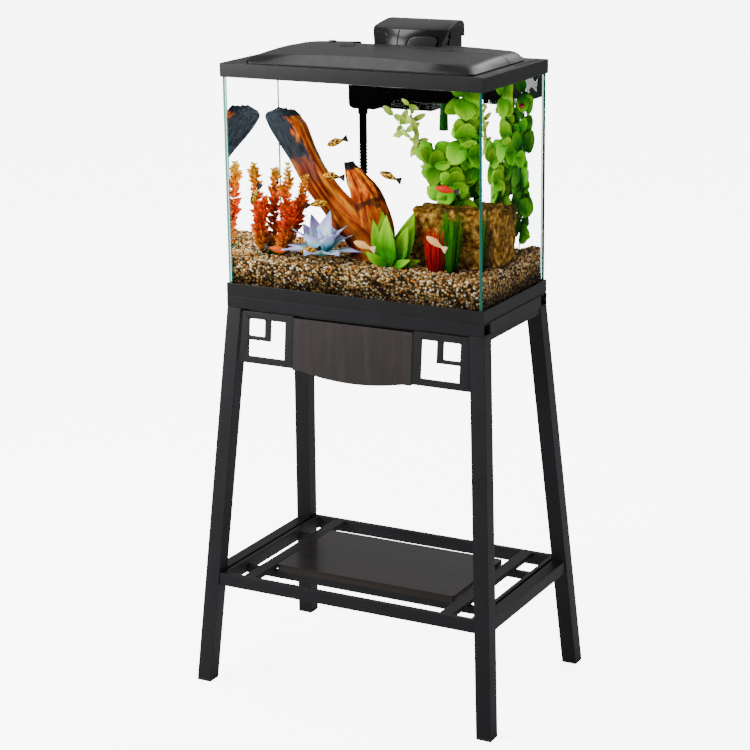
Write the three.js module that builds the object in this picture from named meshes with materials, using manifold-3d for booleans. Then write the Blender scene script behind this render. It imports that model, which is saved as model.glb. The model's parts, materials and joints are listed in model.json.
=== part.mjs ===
// Aquarium on a splayed steel stand: stand, tank, hood, hang-on filter and the tank's contents.
// Millimetres, +Z up, +X to the right, +Y to the back. The origin is on the floor, under the
// middle of the tank.
import * as THREE from 'three';
import { mergeVertices } from 'three/addons/utils/BufferGeometryUtils.js';
import Module from 'manifold-3d';

const wasm = await Module();
wasm.setup();

// ---- Driving dimensions ----

// GAP keeps touching parts apart. OVERCUT is how far a cutting tool runs past a face.
const GAP = 0.3;
const OVERCUT = 1;

// Stand
const LEG_SECTION = 29;
const TUBE_WALL = 1.5;
const FOOT = { x: 306, y: 205.2 };
const PAD = { height: 6, plug: 12 };
const RAIL = { x: 258.3, y: 132, bottom: 713.7, top: 735.3, width: 25 };
const BAR = { height: 11.5, width: 12, setback: 1.5, frontSetback: 17 };
const SHELF = { bottom: 190, top: 214, tubeWidth: 24, tubeSetback: 3, railWidth: 11, railSetback: 2 };
const SHELF_BAR = { slot: 5.5, width: 8 };
const STRAP = { x: 203, width: 24, thickness: 10 };
const SUPPORT = { y: 98, width: 12 };
const PANEL = { x: 184, y: 104, thickness: 14, corner: 3 };
const PLATE = { inner: 121, outer: 227.5, top: 709.5, bottom: 615, thickness: 3, recess: 4 };
const FRET = { inside: 17, outside: 15, edge: 13, band: 29, window: 31, ell: 30, rib: 13, corner: 2.5 };
const APRON = { half: 119.6, top: 707, side: 613, middle: 602, thickness: 12, flat: 16, recess: 2 };

// Tank
const TANK = { width: 514.35, depth: 266.7, bottom: 735.6, top: 1156.7 };
const BASE_FRAME = { top: 759.3, flange: 20 };
const TOP_FRAME = { bottom: 1132.1, lip: 2.6, rimWidth: 3.8, rimDepth: 6.2 };
const GLASS = { x: 253.6, y: 129.8, thickness: 5, bottom: 742, top: 1146, floor: 5.5 };
const GLASS_CLEARANCE = 0.4;

// Hood
const DECK = { bottom: 1150.8, top: 1157.2, clearance: 0.4 };
const ACCESS = { x0: -190, x1: 215, y0: -104, y1: 8 };
const CUTOUT = { x0: -104, x1: 140, y0: 77 };
const VENT = { width: 5, depth: 2.5, pitch: 12.7, leftCount: 18, rightCount: 8, leftY: -112, rightY: 22 };
const VENT_REACH = { leftInner: -217, leftOuter: -248, rightInner: 240, rightOuter: 249 };
const DOME = { left: -213, right: 233, front: -122, rear: 78, wingRear: 115 };
const NOTCH = { left: -102, right: 76 };
const DOME_EDGE = { left: 6, right: 16, rear: 12, foot: 2 };
const BAND = { depth: 15, endZ: 1167, arch: 10 };
const CREST = { y: 20, z: 1178.3, arch: 6, fall: 2 };
const DOME_CORNER = { front: 12, rear: 42 };
const SHELL = 2.5;
const HINGE = { y: 24, z: 1177.3, radius: 2.6, pin: 1.2, bore: 1.5, places: [-85, 107] };
const HINGE_LUG = { width: 9, clearance: 0.5, tab: 6 };
const LID_GAP = { lid: 0.8, cap: 1.4 };
const LIGHT = { x: 170, y0: 18, y1: 62, bottom: 1137, lens: 3, wall: 4, roof: 3 };
const SWITCH = { x: -150, y: 84, radius: 7, proud: 2.6, length: 13, flange: 2, clearance: 0.5 };

// Filter
const BOX = { x0: -80, x1: 62, y0: 136, y1: 187, bottom: 1062, top: 1185.6, wall: 2.5 };
const SPILL = { x0: -70, x1: 50, y0: 106, z: 1158, thickness: 3, wall: 2.5, top: 1165, pour: 4 };
const COVER = { middle: -9, lip: 1167, skirt: 1183, frontEnd: 135.4, rear: 190, rearTop: 186 };
// The cover's sections: height, front edge at the middle, half width, and how far the front edge
// curves back at its ends.
const coverSection = (z, front, half, bow) => ({ z, front, half, bow });
const COVER_FACE = [
  coverSection(COVER.lip, 85, 67, 22),
  coverSection(1180, 89, 70, 22),
  coverSection(1192, 95, 74, 22),
  coverSection(1200, 101, 75, 20),
];
const COVER_TOP = [
  coverSection(1200, 101, 75, 20),
  coverSection(1203, 111, 75, 18),
  coverSection(1207, 138, 74, 10),
  coverSection(1211, 166, 72, 4),
];
const SHROUD = { x0: -26, x1: 124, y0: 97, y1: 121, bottom: 1083, top: 1157.1 };
const PUMP = { x0: -88, x1: -26.4, y0: 94, bottom: 1064, corner: 10 };
const INTAKE = { x: -64, y: 107, radius: 7.5, bore: 5.5, bottom: 1000, socket: 6 };
const COLLAR = { wall: 2, length: 10 };
const STRAINER = { radius: 8.2, bottom: 946, ribs: 9, groove: 1.6, floor: 3 };
const CARTRIDGE = { x0: -74, x1: 20, y: 162, thickness: 9, bottom: 1068, top: 1160, corner: 3 };
const CHAMBER = { radius: 10.6, floor: 3, headroom: 3 };
const IMPELLER = { hub: 5, bottom: 1081, height: 22, blades: 6, reach: 9.6, blade: 1.6, bladeHeight: 12 };

// Contents
const GRAVEL = { front: 803, rise: 10, ripple: 1.6, rippleX: 31, rippleY: 23 };
const MOUND = { x: 225, y: 95, height: 9, spreadX: 45, spreadY: 60 };
const STONE = { x0: 78, x1: 238, y0: -34, y1: 38, top: 917, inset: 8, shoulder: 16, corner: 16 };
const FLOWER = { x: -90, y: -56, z: 808, petals: 8, length: 64, width: 26, thickness: 5, cup: 13 };

// ---- Materials ----

function finish(color, roughness, metalness = 0) {
  return new THREE.MeshStandardMaterial({ color, roughness, metalness });
}

const steel = () => finish(0x2b2c2e, 0.45, 0.2);
const plastic = () => finish(0x232427, 0.5);
const darkWood = () => finish(0x3b302f, 0.3);
const rubber = () => finish(0x151515, 0.85);
const glass = () => {
  const material = finish(0xcfeee6, 0.05);
  material.transparent = true;
  material.opacity = 0.25;
  return material;
};

// ---- Solid helpers ----

function toSolid(geometry) {
  const bare = geometry.clone();
  bare.deleteAttribute('normal');
  bare.deleteAttribute('uv');
  const merged = mergeVertices(bare, 1e-4);
  return new wasm.Manifold(new wasm.Mesh({
    numProp: 3,
    vertProperties: new Float32Array(merged.attributes.position.array),
    triVerts: new Uint32Array(merged.index.array),
  }));
}

function fromSolid(solid) {
  const mesh = solid.getMesh();
  const geometry = new THREE.BufferGeometry();
  geometry.setAttribute('position', new THREE.Float32BufferAttribute(mesh.vertProperties, 3));
  geometry.setIndex(new THREE.Uint32BufferAttribute(mesh.triVerts, 1));
  geometry.computeVertexNormals();
  return geometry;
}

function join(first, ...others) {
  return fromSolid(others.reduce((solid, next) => solid.add(toSolid(next)), toSolid(first)));
}

function cut(first, ...others) {
  return fromSolid(others.reduce((solid, next) => solid.subtract(toSolid(next)), toSolid(first)));
}

function common(first, second) {
  return fromSolid(toSolid(first).intersect(toSolid(second)));
}

function box(x0, x1, y0, y1, z0, z1) {
  return new THREE.BoxGeometry(x1 - x0, y1 - y0, z1 - z0)
    .translate((x0 + x1) / 2, (y0 + y1) / 2, (z0 + z1) / 2);
}

// A solid through a stack of loops of points, each loop with the same number of points.
function loft(loops) {
  const sides = loops[0].length;
  const positions = loops.flat().flatMap((p) => [p.x, p.y, p.z]);
  const index = [];
  for (let level = 0; level + 1 < loops.length; level += 1) {
    for (let i = 0; i < sides; i += 1) {
      const a = level * sides + i;
      const b = level * sides + ((i + 1) % sides);
      index.push(a, b, b + sides, a, b + sides, a + sides);
    }
  }
  const last = (loops.length - 1) * sides;
  for (let i = 1; i + 1 < sides; i += 1) {
    index.push(0, i + 1, i, last, last + i, last + i + 1);
  }
  if (volumeOf(positions, index) < 0) {
    index.reverse();
  }
  const geometry = new THREE.BufferGeometry();
  geometry.setAttribute('position', new THREE.Float32BufferAttribute(positions, 3));
  geometry.setIndex(index);
  geometry.computeVertexNormals();
  return geometry;
}

function volumeOf(positions, index) {
  const corner = (i) => new THREE.Vector3().fromArray(positions, index[i] * 3);
  let volume = 0;
  for (let i = 0; i < index.length; i += 3) {
    volume += corner(i).dot(corner(i + 1).cross(corner(i + 2))) / 6;
  }
  return volume;
}

const point = (x, y, z) => new THREE.Vector3(x, y, z);

function rectangleAt(z, x0, x1, y0, y1) {
  return [point(x0, y0, z), point(x1, y0, z), point(x1, y1, z), point(x0, y1, z)];
}

function circleAt(z, x, y, radius, sides) {
  return Array.from({ length: sides }, (_, i) => {
    const angle = (i / sides) * Math.PI * 2;
    return point(x + radius * Math.cos(angle), y + radius * Math.sin(angle), z);
  });
}

function post(x, y, radius, z0, z1, sides = 24) {
  return loft([circleAt(z0, x, y, radius, sides), circleAt(z1, x, y, radius, sides)]);
}

// A round bar along X.
function rod(x0, x1, y, z, radius, sides = 16) {
  return new THREE.CylinderGeometry(radius, radius, x1 - x0, sides)
    .rotateZ(Math.PI / 2)
    .translate((x0 + x1) / 2, y, z);
}

function roundedRectangle(x0, x1, y0, y1, radius) {
  const shape = new THREE.Shape();
  shape.moveTo(x0 + radius, y0);
  shape.lineTo(x1 - radius, y0);
  shape.absarc(x1 - radius, y0 + radius, radius, -Math.PI / 2, 0);
  shape.lineTo(x1, y1 - radius);
  shape.absarc(x1 - radius, y1 - radius, radius, 0, Math.PI / 2);
  shape.lineTo(x0 + radius, y1);
  shape.absarc(x0 + radius, y1 - radius, radius, Math.PI / 2, Math.PI);
  shape.lineTo(x0, y0 + radius);
  shape.absarc(x0 + radius, y0 + radius, radius, Math.PI, Math.PI * 1.5);
  return shape;
}

// A shape drawn in X and Y, made into a slab from z0 to z1.
function slab(shape, z0, z1, curveSegments = 4) {
  return new THREE.ExtrudeGeometry(shape, { depth: z1 - z0, bevelEnabled: false, curveSegments })
    .translate(0, 0, z0);
}

// A shape drawn in X and Z, made into an upright board from y0 to y1.
function board(shape, y0, y1, curveSegments = 4) {
  return new THREE.ExtrudeGeometry(shape, { depth: y1 - y0, bevelEnabled: false, curveSegments })
    .rotateX(Math.PI / 2)
    .translate(0, y1, 0);
}

// A solid over a grid, from a level underside to the height that top gives.
function heightSolid(xs, ys, bottom, top) {
  const positions = [];
  const rows = ys.length;
  for (const level of [() => bottom, top]) {
    for (const x of xs) {
      for (const y of ys) {
        positions.push(x, y, level(x, y));
      }
    }
  }
  const upper = xs.length * rows;
  const index = [];
  const quad = (a, b, c, d) => index.push(a, b, c, a, c, d);
  for (let i = 0; i + 1 < xs.length; i += 1) {
    for (let j = 0; j + 1 < rows; j += 1) {
      const a = i * rows + j;
      const b = a + rows;
      quad(upper + a, upper + b, upper + b + 1, upper + a + 1);
      quad(a, a + 1, b + 1, b);
    }
  }
  for (let i = 0; i + 1 < xs.length; i += 1) {
    const a = i * rows;
    const b = a + rows;
    quad(a, b, upper + b, upper + a);
    quad(b + rows - 1, a + rows - 1, upper + a + rows - 1, upper + b + rows - 1);
  }
  for (let j = 0; j + 1 < rows; j += 1) {
    const end = (xs.length - 1) * rows + j;
    quad(j + 1, j, upper + j, upper + j + 1);
    quad(end, end + 1, upper + end + 1, upper + end);
  }
  const geometry = new THREE.BufferGeometry();
  geometry.setAttribute('position', new THREE.Float32BufferAttribute(positions, 3));
  geometry.setIndex(index);
  geometry.computeVertexNormals();
  return geometry;
}

function steps(from, to, count) {
  return Array.from({ length: count + 1 }, (_, i) => from + ((to - from) * i) / count);
}

// The same span on the left or front (sign -1) or on the right or back (sign 1), in order.
function mirrored(sign, from, to) {
  return [sign * from, sign * to].sort((a, b) => a - b);
}

// ---- The assembly ----

const aquarium = new THREE.Group();
aquarium.name = 'aquarium_on_stand';

function add(name, geometry, material) {
  const mesh = new THREE.Mesh(geometry, material);
  mesh.name = name;
  aquarium.add(mesh);
}

// ---- Stand ----

// The legs' outer corner at a height: they splay outward in a straight line from the rails.
function legCorner(z) {
  const drop = (RAIL.bottom - z) / RAIL.bottom;
  return {
    x: RAIL.x + (FOOT.x - RAIL.x) * drop,
    y: RAIL.y + (FOOT.y - RAIL.y) * drop,
  };
}

function legLoop(z, sideX, sideY, inset) {
  const { x, y } = legCorner(z);
  const xs = mirrored(sideX, x - inset, x - LEG_SECTION + inset);
  const ys = mirrored(sideY, y - inset, y - LEG_SECTION + inset);
  return rectangleAt(z, xs[0], xs[1], ys[0], ys[1]);
}

const CORNERS = [
  ['front_left', -1, -1],
  ['front_right', 1, -1],
  ['back_left', -1, 1],
  ['back_right', 1, 1],
];
for (const [place, sideX, sideY] of CORNERS) {
  const legTop = RAIL.bottom - GAP;
  const outside = loft([PAD.height + GAP, legTop].map((z) => legLoop(z, sideX, sideY, 0)));
  const inside = loft([0, RAIL.top].map((z) => legLoop(z, sideX, sideY, TUBE_WALL)));
  add(`leg_${place}`, cut(outside, inside), steel());
  const plugLevels = [PAD.height, PAD.height + PAD.plug];
  const plug = loft(plugLevels.map((z) => legLoop(z, sideX, sideY, TUBE_WALL + GAP)));
  const sole = loft([0, PAD.height].map((z) => legLoop(z, sideX, sideY, 0)));
  add(`foot_pad_${place}`, join(sole, plug), rubber());
}

// The top ring: a tube on each side that the tank's base frame rests on.
function tubeAlongX(x0, x1, y0, y1, z0, z1) {
  return cut(box(x0, x1, y0, y1, z0, z1), box(
    x0 - OVERCUT,
    x1 + OVERCUT,
    y0 + TUBE_WALL,
    y1 - TUBE_WALL,
    z0 + TUBE_WALL,
    z1 - TUBE_WALL,
  ));
}

function tubeAlongY(x0, x1, y0, y1, z0, z1) {
  return cut(box(x0, x1, y0, y1, z0, z1), box(
    x0 + TUBE_WALL,
    x1 - TUBE_WALL,
    y0 - OVERCUT,
    y1 + OVERCUT,
    z0 + TUBE_WALL,
    z1 - TUBE_WALL,
  ));
}

const railInnerY = RAIL.y - RAIL.width;
const railInnerX = RAIL.x - RAIL.width;
for (const [side, sign] of [['front', -1], ['back', 1]]) {
  const ys = mirrored(sign, railInnerY, RAIL.y);
  add(`top_rail_${side}`, tubeAlongX(-RAIL.x, RAIL.x, ys[0], ys[1], RAIL.bottom, RAIL.top), steel());
}
for (const [side, sign] of [['left', -1], ['right', 1]]) {
  const xs = mirrored(sign, railInnerX, RAIL.x);
  const reach = railInnerY - GAP;
  add(`top_rail_${side}`, tubeAlongY(xs[0], xs[1], -reach, reach, RAIL.bottom, RAIL.top), steel());
}

// A bar below each rail, from leg to leg. Its ends follow the legs' slope.
const barTop = RAIL.bottom - GAP;
const barBottom = barTop - BAR.height;
for (const [side, sign] of [['left', -1], ['right', 1]]) {
  const loops = [barBottom, barTop].map((z) => {
    const { x, y } = legCorner(z);
    const xs = mirrored(sign, x - BAR.setback, x - BAR.setback - BAR.width);
    const reach = y - LEG_SECTION - GAP;
    return rectangleAt(z, xs[0], xs[1], -reach, reach);
  });
  add(`side_bar_${side}`, loft(loops), steel());
}
for (const [side, sign] of [['front', -1], ['back', 1]]) {
  const loops = [barBottom, barTop].map((z) => {
    const { x, y } = legCorner(z);
    const setback = side === 'front' ? BAR.frontSetback : BAR.setback;
    const ys = mirrored(sign, y - setback, y - setback - BAR.width);
    const reach = x - LEG_SECTION - GAP;
    return rectangleAt(z, -reach, reach, ys[0], ys[1]);
  });
  add(`cross_bar_${side}`, loft(loops), steel());
}

// The fretwork plates and the apron lean with the front faces of the legs.
function lean(geometry, setback) {
  const slope = (FOOT.y - RAIL.y) / RAIL.bottom;
  const position = geometry.attributes.position;
  for (let i = 0; i < position.count; i += 1) {
    const drop = RAIL.bottom - position.getZ(i);
    position.setY(i, position.getY(i) - RAIL.y + setback - slope * drop);
  }
  geometry.computeVertexNormals();
  return geometry;
}

const plateSpread = ((FOOT.x - RAIL.x) / RAIL.bottom) * (PLATE.top - PLATE.bottom);

// An outline through corner points, always counterclockwise.
function cornered(corners, Kind = THREE.Shape) {
  const points = corners.map(([x, z]) => new THREE.Vector2(x, z));
  return new Kind(THREE.ShapeUtils.isClockWise(points) ? points.reverse() : points);
}

// A square window beside the leg, and an L-shaped one around it on the inner and lower sides.
function fretworkShape(sign) {
  const shape = cornered([
    [sign * PLATE.inner, PLATE.top],
    [sign * PLATE.outer, PLATE.top],
    [sign * (PLATE.outer + plateSpread), PLATE.bottom],
    [sign * PLATE.inner, PLATE.bottom],
  ]);
  const inner = sign * (PLATE.inner + FRET.inside);
  const outer = sign * (PLATE.outer - FRET.outside);
  const ellInner = inner + sign * FRET.band;
  const windowInner = ellInner + sign * FRET.rib;
  const top = PLATE.top - FRET.edge;
  const bottom = PLATE.bottom + FRET.edge;
  const [windowX0, windowX1] = [windowInner, outer].sort((a, b) => a - b);
  const window = roundedRectangle(windowX0, windowX1, top - FRET.window, top, FRET.corner);
  const ell = cornered([
    [inner, top],
    [ellInner, top],
    [ellInner, bottom + FRET.ell],
    [outer, bottom + FRET.ell],
    [outer, bottom],
    [inner, bottom],
  ], THREE.Path);
  shape.holes.push(ell, window);
  return shape;
}

for (const [side, sign] of [['left', -1], ['right', 1]]) {
  const plate = board(fretworkShape(sign), 0, PLATE.thickness);
  add(`fretwork_${side}`, lean(plate, PLATE.recess), steel());
}

// The apron's lower edge is level near each end and dips in the middle.
const apronShape = new THREE.Shape();
apronShape.moveTo(-APRON.half, APRON.top);
apronShape.lineTo(APRON.half, APRON.top);
apronShape.lineTo(APRON.half, APRON.side);
apronShape.lineTo(APRON.half - APRON.flat, APRON.side);
apronShape.quadraticCurveTo(0, 2 * APRON.middle - APRON.side, APRON.flat - APRON.half, APRON.side);
apronShape.lineTo(-APRON.half, APRON.side);
apronShape.closePath();
add('apron', lean(board(apronShape, 0, APRON.thickness, 16), APRON.recess), darkWood());

// Low shelf: a side tube from leg to leg, a rail across the front and the back, flat bars,
// straps and two supports that carry the wood panel.
const shelfLevels = [SHELF.bottom, SHELF.top];
const shelfMiddle = legCorner((SHELF.bottom + SHELF.top) / 2);
const tubeOuterX = shelfMiddle.x - SHELF.tubeSetback;
const tubeInnerX = tubeOuterX - SHELF.tubeWidth;
for (const [side, sign] of [['left', -1], ['right', 1]]) {
  const loopsOf = (inset, overrun) => shelfLevels.map((level, i) => {
    const z = level + (i === 0 ? inset : -inset);
    const xs = mirrored(sign, tubeOuterX - inset, tubeInnerX + inset);
    const reach = legCorner(z).y - LEG_SECTION - GAP + overrun;
    return rectangleAt(z, xs[0], xs[1], -reach, reach);
  });
  add(`shelf_tube_${side}`, cut(loft(loopsOf(0, 0)), loft(loopsOf(TUBE_WALL, OVERCUT))), steel());
}

const railFaceY = shelfMiddle.y - SHELF.railSetback;
const railBackY = railFaceY - SHELF.railWidth;
for (const [side, sign] of [['front', -1], ['back', 1]]) {
  const ys = mirrored(sign, railFaceY, railBackY);
  const loops = shelfLevels.map((z) => {
    const reach = legCorner(z).x - LEG_SECTION - GAP;
    return rectangleAt(z, -reach, reach, ys[0], ys[1]);
  });
  add(`shelf_rail_${side}`, loft(loops), steel());
}

const barOuterX = tubeInnerX - SHELF_BAR.slot;
const barInnerX = barOuterX - SHELF_BAR.width;
const barReach = railBackY - GAP;
const strapBottom = SHELF.top - STRAP.thickness;
for (const [side, sign] of [['left', -1], ['right', 1]]) {
  const bar = mirrored(sign, barOuterX, barInnerX);
  add(
    `shelf_side_bar_${side}`,
    box(bar[0], bar[1], -barReach, barReach, SHELF.bottom, SHELF.top),
    steel(),
  );
  const strap = mirrored(sign, STRAP.x - STRAP.width / 2, STRAP.x + STRAP.width / 2);
  add(
    `shelf_strap_${side}`,
    box(strap[0], strap[1], -barReach, barReach, strapBottom, SHELF.top),
    steel(),
  );
}

const supportTop = strapBottom - GAP;
const supportReach = barInnerX - GAP;
for (const [side, sign] of [['front', -1], ['back', 1]]) {
  const ys = mirrored(sign, SUPPORT.y - SUPPORT.width / 2, SUPPORT.y + SUPPORT.width / 2);
  add(
    `shelf_support_${side}`,
    box(-supportReach, supportReach, ys[0], ys[1], SHELF.bottom, supportTop),
    steel(),
  );
}

const panelShape = roundedRectangle(-PANEL.x, PANEL.x, -PANEL.y, PANEL.y, PANEL.corner);
add('shelf_panel', slab(panelShape, strapBottom, strapBottom + PANEL.thickness, 3), darkWood());

// ---- Tank ----

const tankX = TANK.width / 2;
const tankY = TANK.depth / 2;
const slotX = GLASS.x + GLASS_CLEARANCE;
const slotY = GLASS.y + GLASS_CLEARANCE;
const insideX = GLASS.x - GLASS.thickness;
const insideY = GLASS.y - GLASS.thickness;

const baseBlock = box(-tankX, tankX, -tankY, tankY, TANK.bottom, BASE_FRAME.top);
const baseSeat = box(-slotX, slotX, -slotY, slotY, GLASS.bottom - GAP, TANK.top);
const holeX = tankX - BASE_FRAME.flange;
const holeY = tankY - BASE_FRAME.flange;
add('tank_base_frame', cut(baseBlock, baseSeat, box(-holeX, holeX, -holeY, holeY, 0, TANK.top)), plastic());

// The top frame's channel fits over the panes' upper edges, and the deck sits in its rim.
const lipX = insideX - TOP_FRAME.lip;
const lipY = insideY - TOP_FRAME.lip;
const rimX = tankX - TOP_FRAME.rimWidth;
const rimY = tankY - TOP_FRAME.rimWidth;
const seatZ = TANK.top - TOP_FRAME.rimDepth;
const slotInnerX = insideX - GLASS_CLEARANCE;
const slotInnerY = insideY - GLASS_CLEARANCE;
add('tank_top_frame', cut(
  box(-tankX, tankX, -tankY, tankY, TOP_FRAME.bottom, TANK.top),
  box(-rimX, rimX, -rimY, rimY, seatZ, TANK.top + OVERCUT),
  box(-lipX, lipX, -lipY, lipY, 0, TANK.top + OVERCUT),
  cut(
    box(-slotX, slotX, -slotY, slotY, 0, GLASS.top + GAP),
    box(-slotInnerX, slotInnerX, -slotInnerY, slotInnerY, -OVERCUT, TANK.top),
  ),
), plastic());

for (const [side, sign] of [['left', -1], ['right', 1]]) {
  const xs = mirrored(sign, insideX, GLASS.x);
  add(`glass_${side}`, box(xs[0], xs[1], -GLASS.y, GLASS.y, GLASS.bottom, GLASS.top), glass());
}
const paneX = insideX - GAP;
for (const [side, sign] of [['front', -1], ['back', 1]]) {
  const ys = mirrored(sign, insideY, GLASS.y);
  add(`glass_${side}`, box(-paneX, paneX, ys[0], ys[1], GLASS.bottom, GLASS.top), glass());
}
const floorY = insideY - GAP;
const floorTop = GLASS.bottom + GLASS.floor;
add('glass_bottom', box(-paneX, paneX, -floorY, floorY, GLASS.bottom, floorTop), glass());

// ---- Hood ----

// The dome's upper surface. Its crest and the top of its front band arch across the width, and it
// falls a little from the crest to the rear edge.
const domeMiddle = (DOME.left + DOME.right) / 2;
const domeHalf = (DOME.right - DOME.left) / 2;
const bandRear = DOME.front + BAND.depth;
const domeFoot = DECK.top + GAP;
const domeEdgeFoot = domeFoot + DOME_EDGE.foot;

function arched(x, endZ, arch) {
  const across = (x - domeMiddle) / domeHalf;
  return endZ + arch * (1 - across * across);
}

function ramp(distance, width) {
  if (width === 0) {
    return 1;
  }
  return Math.sin((THREE.MathUtils.clamp(distance / width, 0, 1) * Math.PI) / 2);
}

function crownHeight(x, y) {
  const low = arched(x, BAND.endZ, BAND.arch);
  const crest = arched(x, CREST.z - CREST.arch, CREST.arch);
  if (y <= CREST.y) {
    return low + (crest - low) * ramp(Math.max(y - bandRear, 0), CREST.y - bandRear);
  }
  return crest - (CREST.fall * (y - CREST.y)) / (DOME.wingRear - CREST.y);
}

// How far an edge has risen at a distance from a side and from the rear. Where both are rounded,
// the corner between them is rounded in plan too.
function edgeRise(sideDistance, sideWidth, rearDistance, rearWidth) {
  const inX = DOME_CORNER.rear - sideDistance;
  const inY = DOME_CORNER.rear - rearDistance;
  if (sideWidth === 0 || rearWidth === 0 || inX <= 0 || inY <= 0) {
    return Math.min(ramp(sideDistance, sideWidth), ramp(rearDistance, rearWidth));
  }
  const share = inX ** 2 / (inX ** 2 + inY ** 2);
  const width = sideWidth * share + rearWidth * (1 - share);
  return ramp(DOME_CORNER.rear - Math.hypot(inX, inY), width);
}

// A part of the dome over a rectangle, with a rounded edge of a given width on each side. Sunk, it
// is the hollow below that part.
const EDGE_STEPS = [0, 0.07, 0.2, 0.36, 0.57, 0.78, 1];

function domePart({ x0, x1, y0, y1, left = 0, right = 0, rear = 0 }, sink = 0) {
  const height = (x, y) => {
    const rise = Math.min(
      THREE.MathUtils.clamp((y - DOME.front) / BAND.depth, 0, 1),
      edgeRise(x - x0, left, y1 - y, rear),
      edgeRise(x1 - x, right, y1 - y, rear),
    );
    return domeEdgeFoot + (crownHeight(x, y) - domeEdgeFoot) * rise - sink;
  };
  const sorted = (values) => [...new Set(values)].sort((a, b) => a - b);
  const edgeSteps = (width) => EDGE_STEPS.map((t) => t * (width > 0 ? DOME_CORNER.rear : 0));
  const xs = sorted([
    ...edgeSteps(left).map((step) => x0 + step),
    ...steps(x0 + DOME_CORNER.rear, x1 - DOME_CORNER.rear, 8),
    ...edgeSteps(right).map((step) => x1 - step),
  ]);
  const ys = sorted([
    y0,
    ...[DOME.front, ...steps(bandRear, CREST.y, 5)].filter((y) => y > y0 && y < y1),
    ...edgeSteps(rear).map((step) => y1 - step),
  ]);
  const bottom = sink > 0 ? domeEdgeFoot - sink - OVERCUT : domeFoot;
  return heightSolid(xs, ys, bottom, height);
}

// Hinge lugs: two on the rear part and one on the lid at each place, around one pin.
const halfLug = HINGE_LUG.width / 2;

function lugBarrel(x0, x1, tabY) {
  const [y0, y1] = [HINGE.y, tabY].sort((a, b) => a - b);
  const tab = box(x0, x1, y0, y1, HINGE.z - SHELL, HINGE.z);
  return join(rod(x0, x1, HINGE.y, HINGE.z, HINGE.radius), tab);
}

function lugRoom(x0, x1) {
  const reach = HINGE.radius + HINGE_LUG.clearance;
  return box(x0, x1, HINGE.y - reach, HINGE.y + reach, HINGE.z - reach, HINGE.z + reach);
}

const pinHole = (x) => rod(
  x - 2 * HINGE_LUG.width,
  x + 2 * HINGE_LUG.width,
  HINGE.y,
  HINGE.z,
  HINGE.bore,
);

// The lid: the front part of the dome, open below and at the rear, with rounded front corners.
const lidRear = HINGE.y - LID_GAP.lid;
const lidOutline = (inset) => slab(
  roundedRectangle(
    DOME.left + inset,
    DOME.right - inset,
    DOME.front + inset,
    lidRear + DOME_CORNER.front + OVERCUT,
    DOME_CORNER.front,
  ),
  0,
  CREST.z + OVERCUT,
);
const lidSpan = {
  x0: DOME.left,
  x1: DOME.right,
  y0: DOME.front,
  left: DOME_EDGE.left,
  right: DOME_EDGE.right,
};
let lid = cut(
  common(domePart({ ...lidSpan, y1: lidRear }), lidOutline(0)),
  common(domePart({ ...lidSpan, y1: lidRear + OVERCUT }, SHELL), lidOutline(SHELL)),
);
for (const x of HINGE.places) {
  const outer = halfLug + HINGE_LUG.width + HINGE_LUG.clearance;
  lid = cut(lid, lugRoom(x - outer, x - halfLug), lugRoom(x + halfLug, x + outer));
  const lugX = halfLug - HINGE_LUG.clearance;
  lid = cut(join(lid, lugBarrel(x - lugX, x + lugX, lidRear - HINGE_LUG.tab)), pinHole(x));
}
add('hood_lid', lid, plastic());

// The rear cap: the dome behind the lid, with a notch for the filter between two wings.
const capFront = HINGE.y + LID_GAP.cap;
const rearEdge = DOME_EDGE.rear;
const wingSpans = [
  { x0: DOME.left, x1: NOTCH.left, y1: DOME.wingRear, left: DOME_EDGE.left },
  { x0: NOTCH.right, x1: DOME.right, y1: DOME.wingRear, right: DOME_EDGE.right },
];

// A wing's outline has one rounded corner, at the rear on its outer side.
function wingPart(span, inset) {
  const spare = DOME_CORNER.rear + OVERCUT;
  const isLeft = span.left !== undefined;
  const outline = slab(
    roundedRectangle(
      span.x0 + inset - (isLeft ? 0 : spare),
      span.x1 - inset + (isLeft ? spare : 0),
      capFront - spare,
      span.y1 - inset,
      DOME_CORNER.rear - inset,
    ),
    0,
    CREST.z + OVERCUT,
    6,
  );
  const room = box(
    span.x0 + inset,
    span.x1 - inset,
    capFront + inset,
    span.y1 - inset,
    0,
    CREST.z + OVERCUT,
  );
  const part = domePart({ ...span, y0: capFront, rear: rearEdge }, inset);
  return common(common(part, outline), room);
}

// The middle of the cap runs into both wings. Its hollow joins their hollows.
function middlePart(inset) {
  const overlap = inset * 2 + OVERCUT;
  const span = { x0: NOTCH.left - overlap, x1: NOTCH.right + overlap, y0: capFront, y1: DOME.rear };
  const room = box(span.x0, span.x1, capFront + inset, span.y1 - inset, 0, CREST.z + OVERCUT);
  return common(domePart({ ...span, rear: rearEdge }, inset), room);
}

const capParts = (inset) => [...wingSpans.map((span) => wingPart(span, inset)), middlePart(inset)];
let cap = cut(join(...capParts(0)), join(...capParts(SHELL)));
for (const x of HINGE.places) {
  cap = cut(cap, lugRoom(x - halfLug, x + halfLug));
  const outer = halfLug + HINGE_LUG.width;
  const tabY = capFront + HINGE_LUG.tab;
  cap = join(cap, lugBarrel(x - outer, x - halfLug, tabY), lugBarrel(x + halfLug, x + outer, tabY));
  cap = cut(cap, pinHole(x));
}
const switchHole = SWITCH.radius + SWITCH.clearance;
add('hood_rear_cap', cut(
  cap,
  post(SWITCH.x, SWITCH.y, switchHole, domeFoot + SHELL, CREST.z + OVERCUT),
), plastic());

for (const [i, side] of ['left', 'right'].entries()) {
  const reach = halfLug + HINGE_LUG.width;
  const x = HINGE.places[i];
  const pin = rod(x - reach, x + reach, HINGE.y, HINGE.z, HINGE.pin);
  add(`lid_hinge_pin_${side}`, pin, finish(0x8a8d90, 0.3, 0.9));
}

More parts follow.
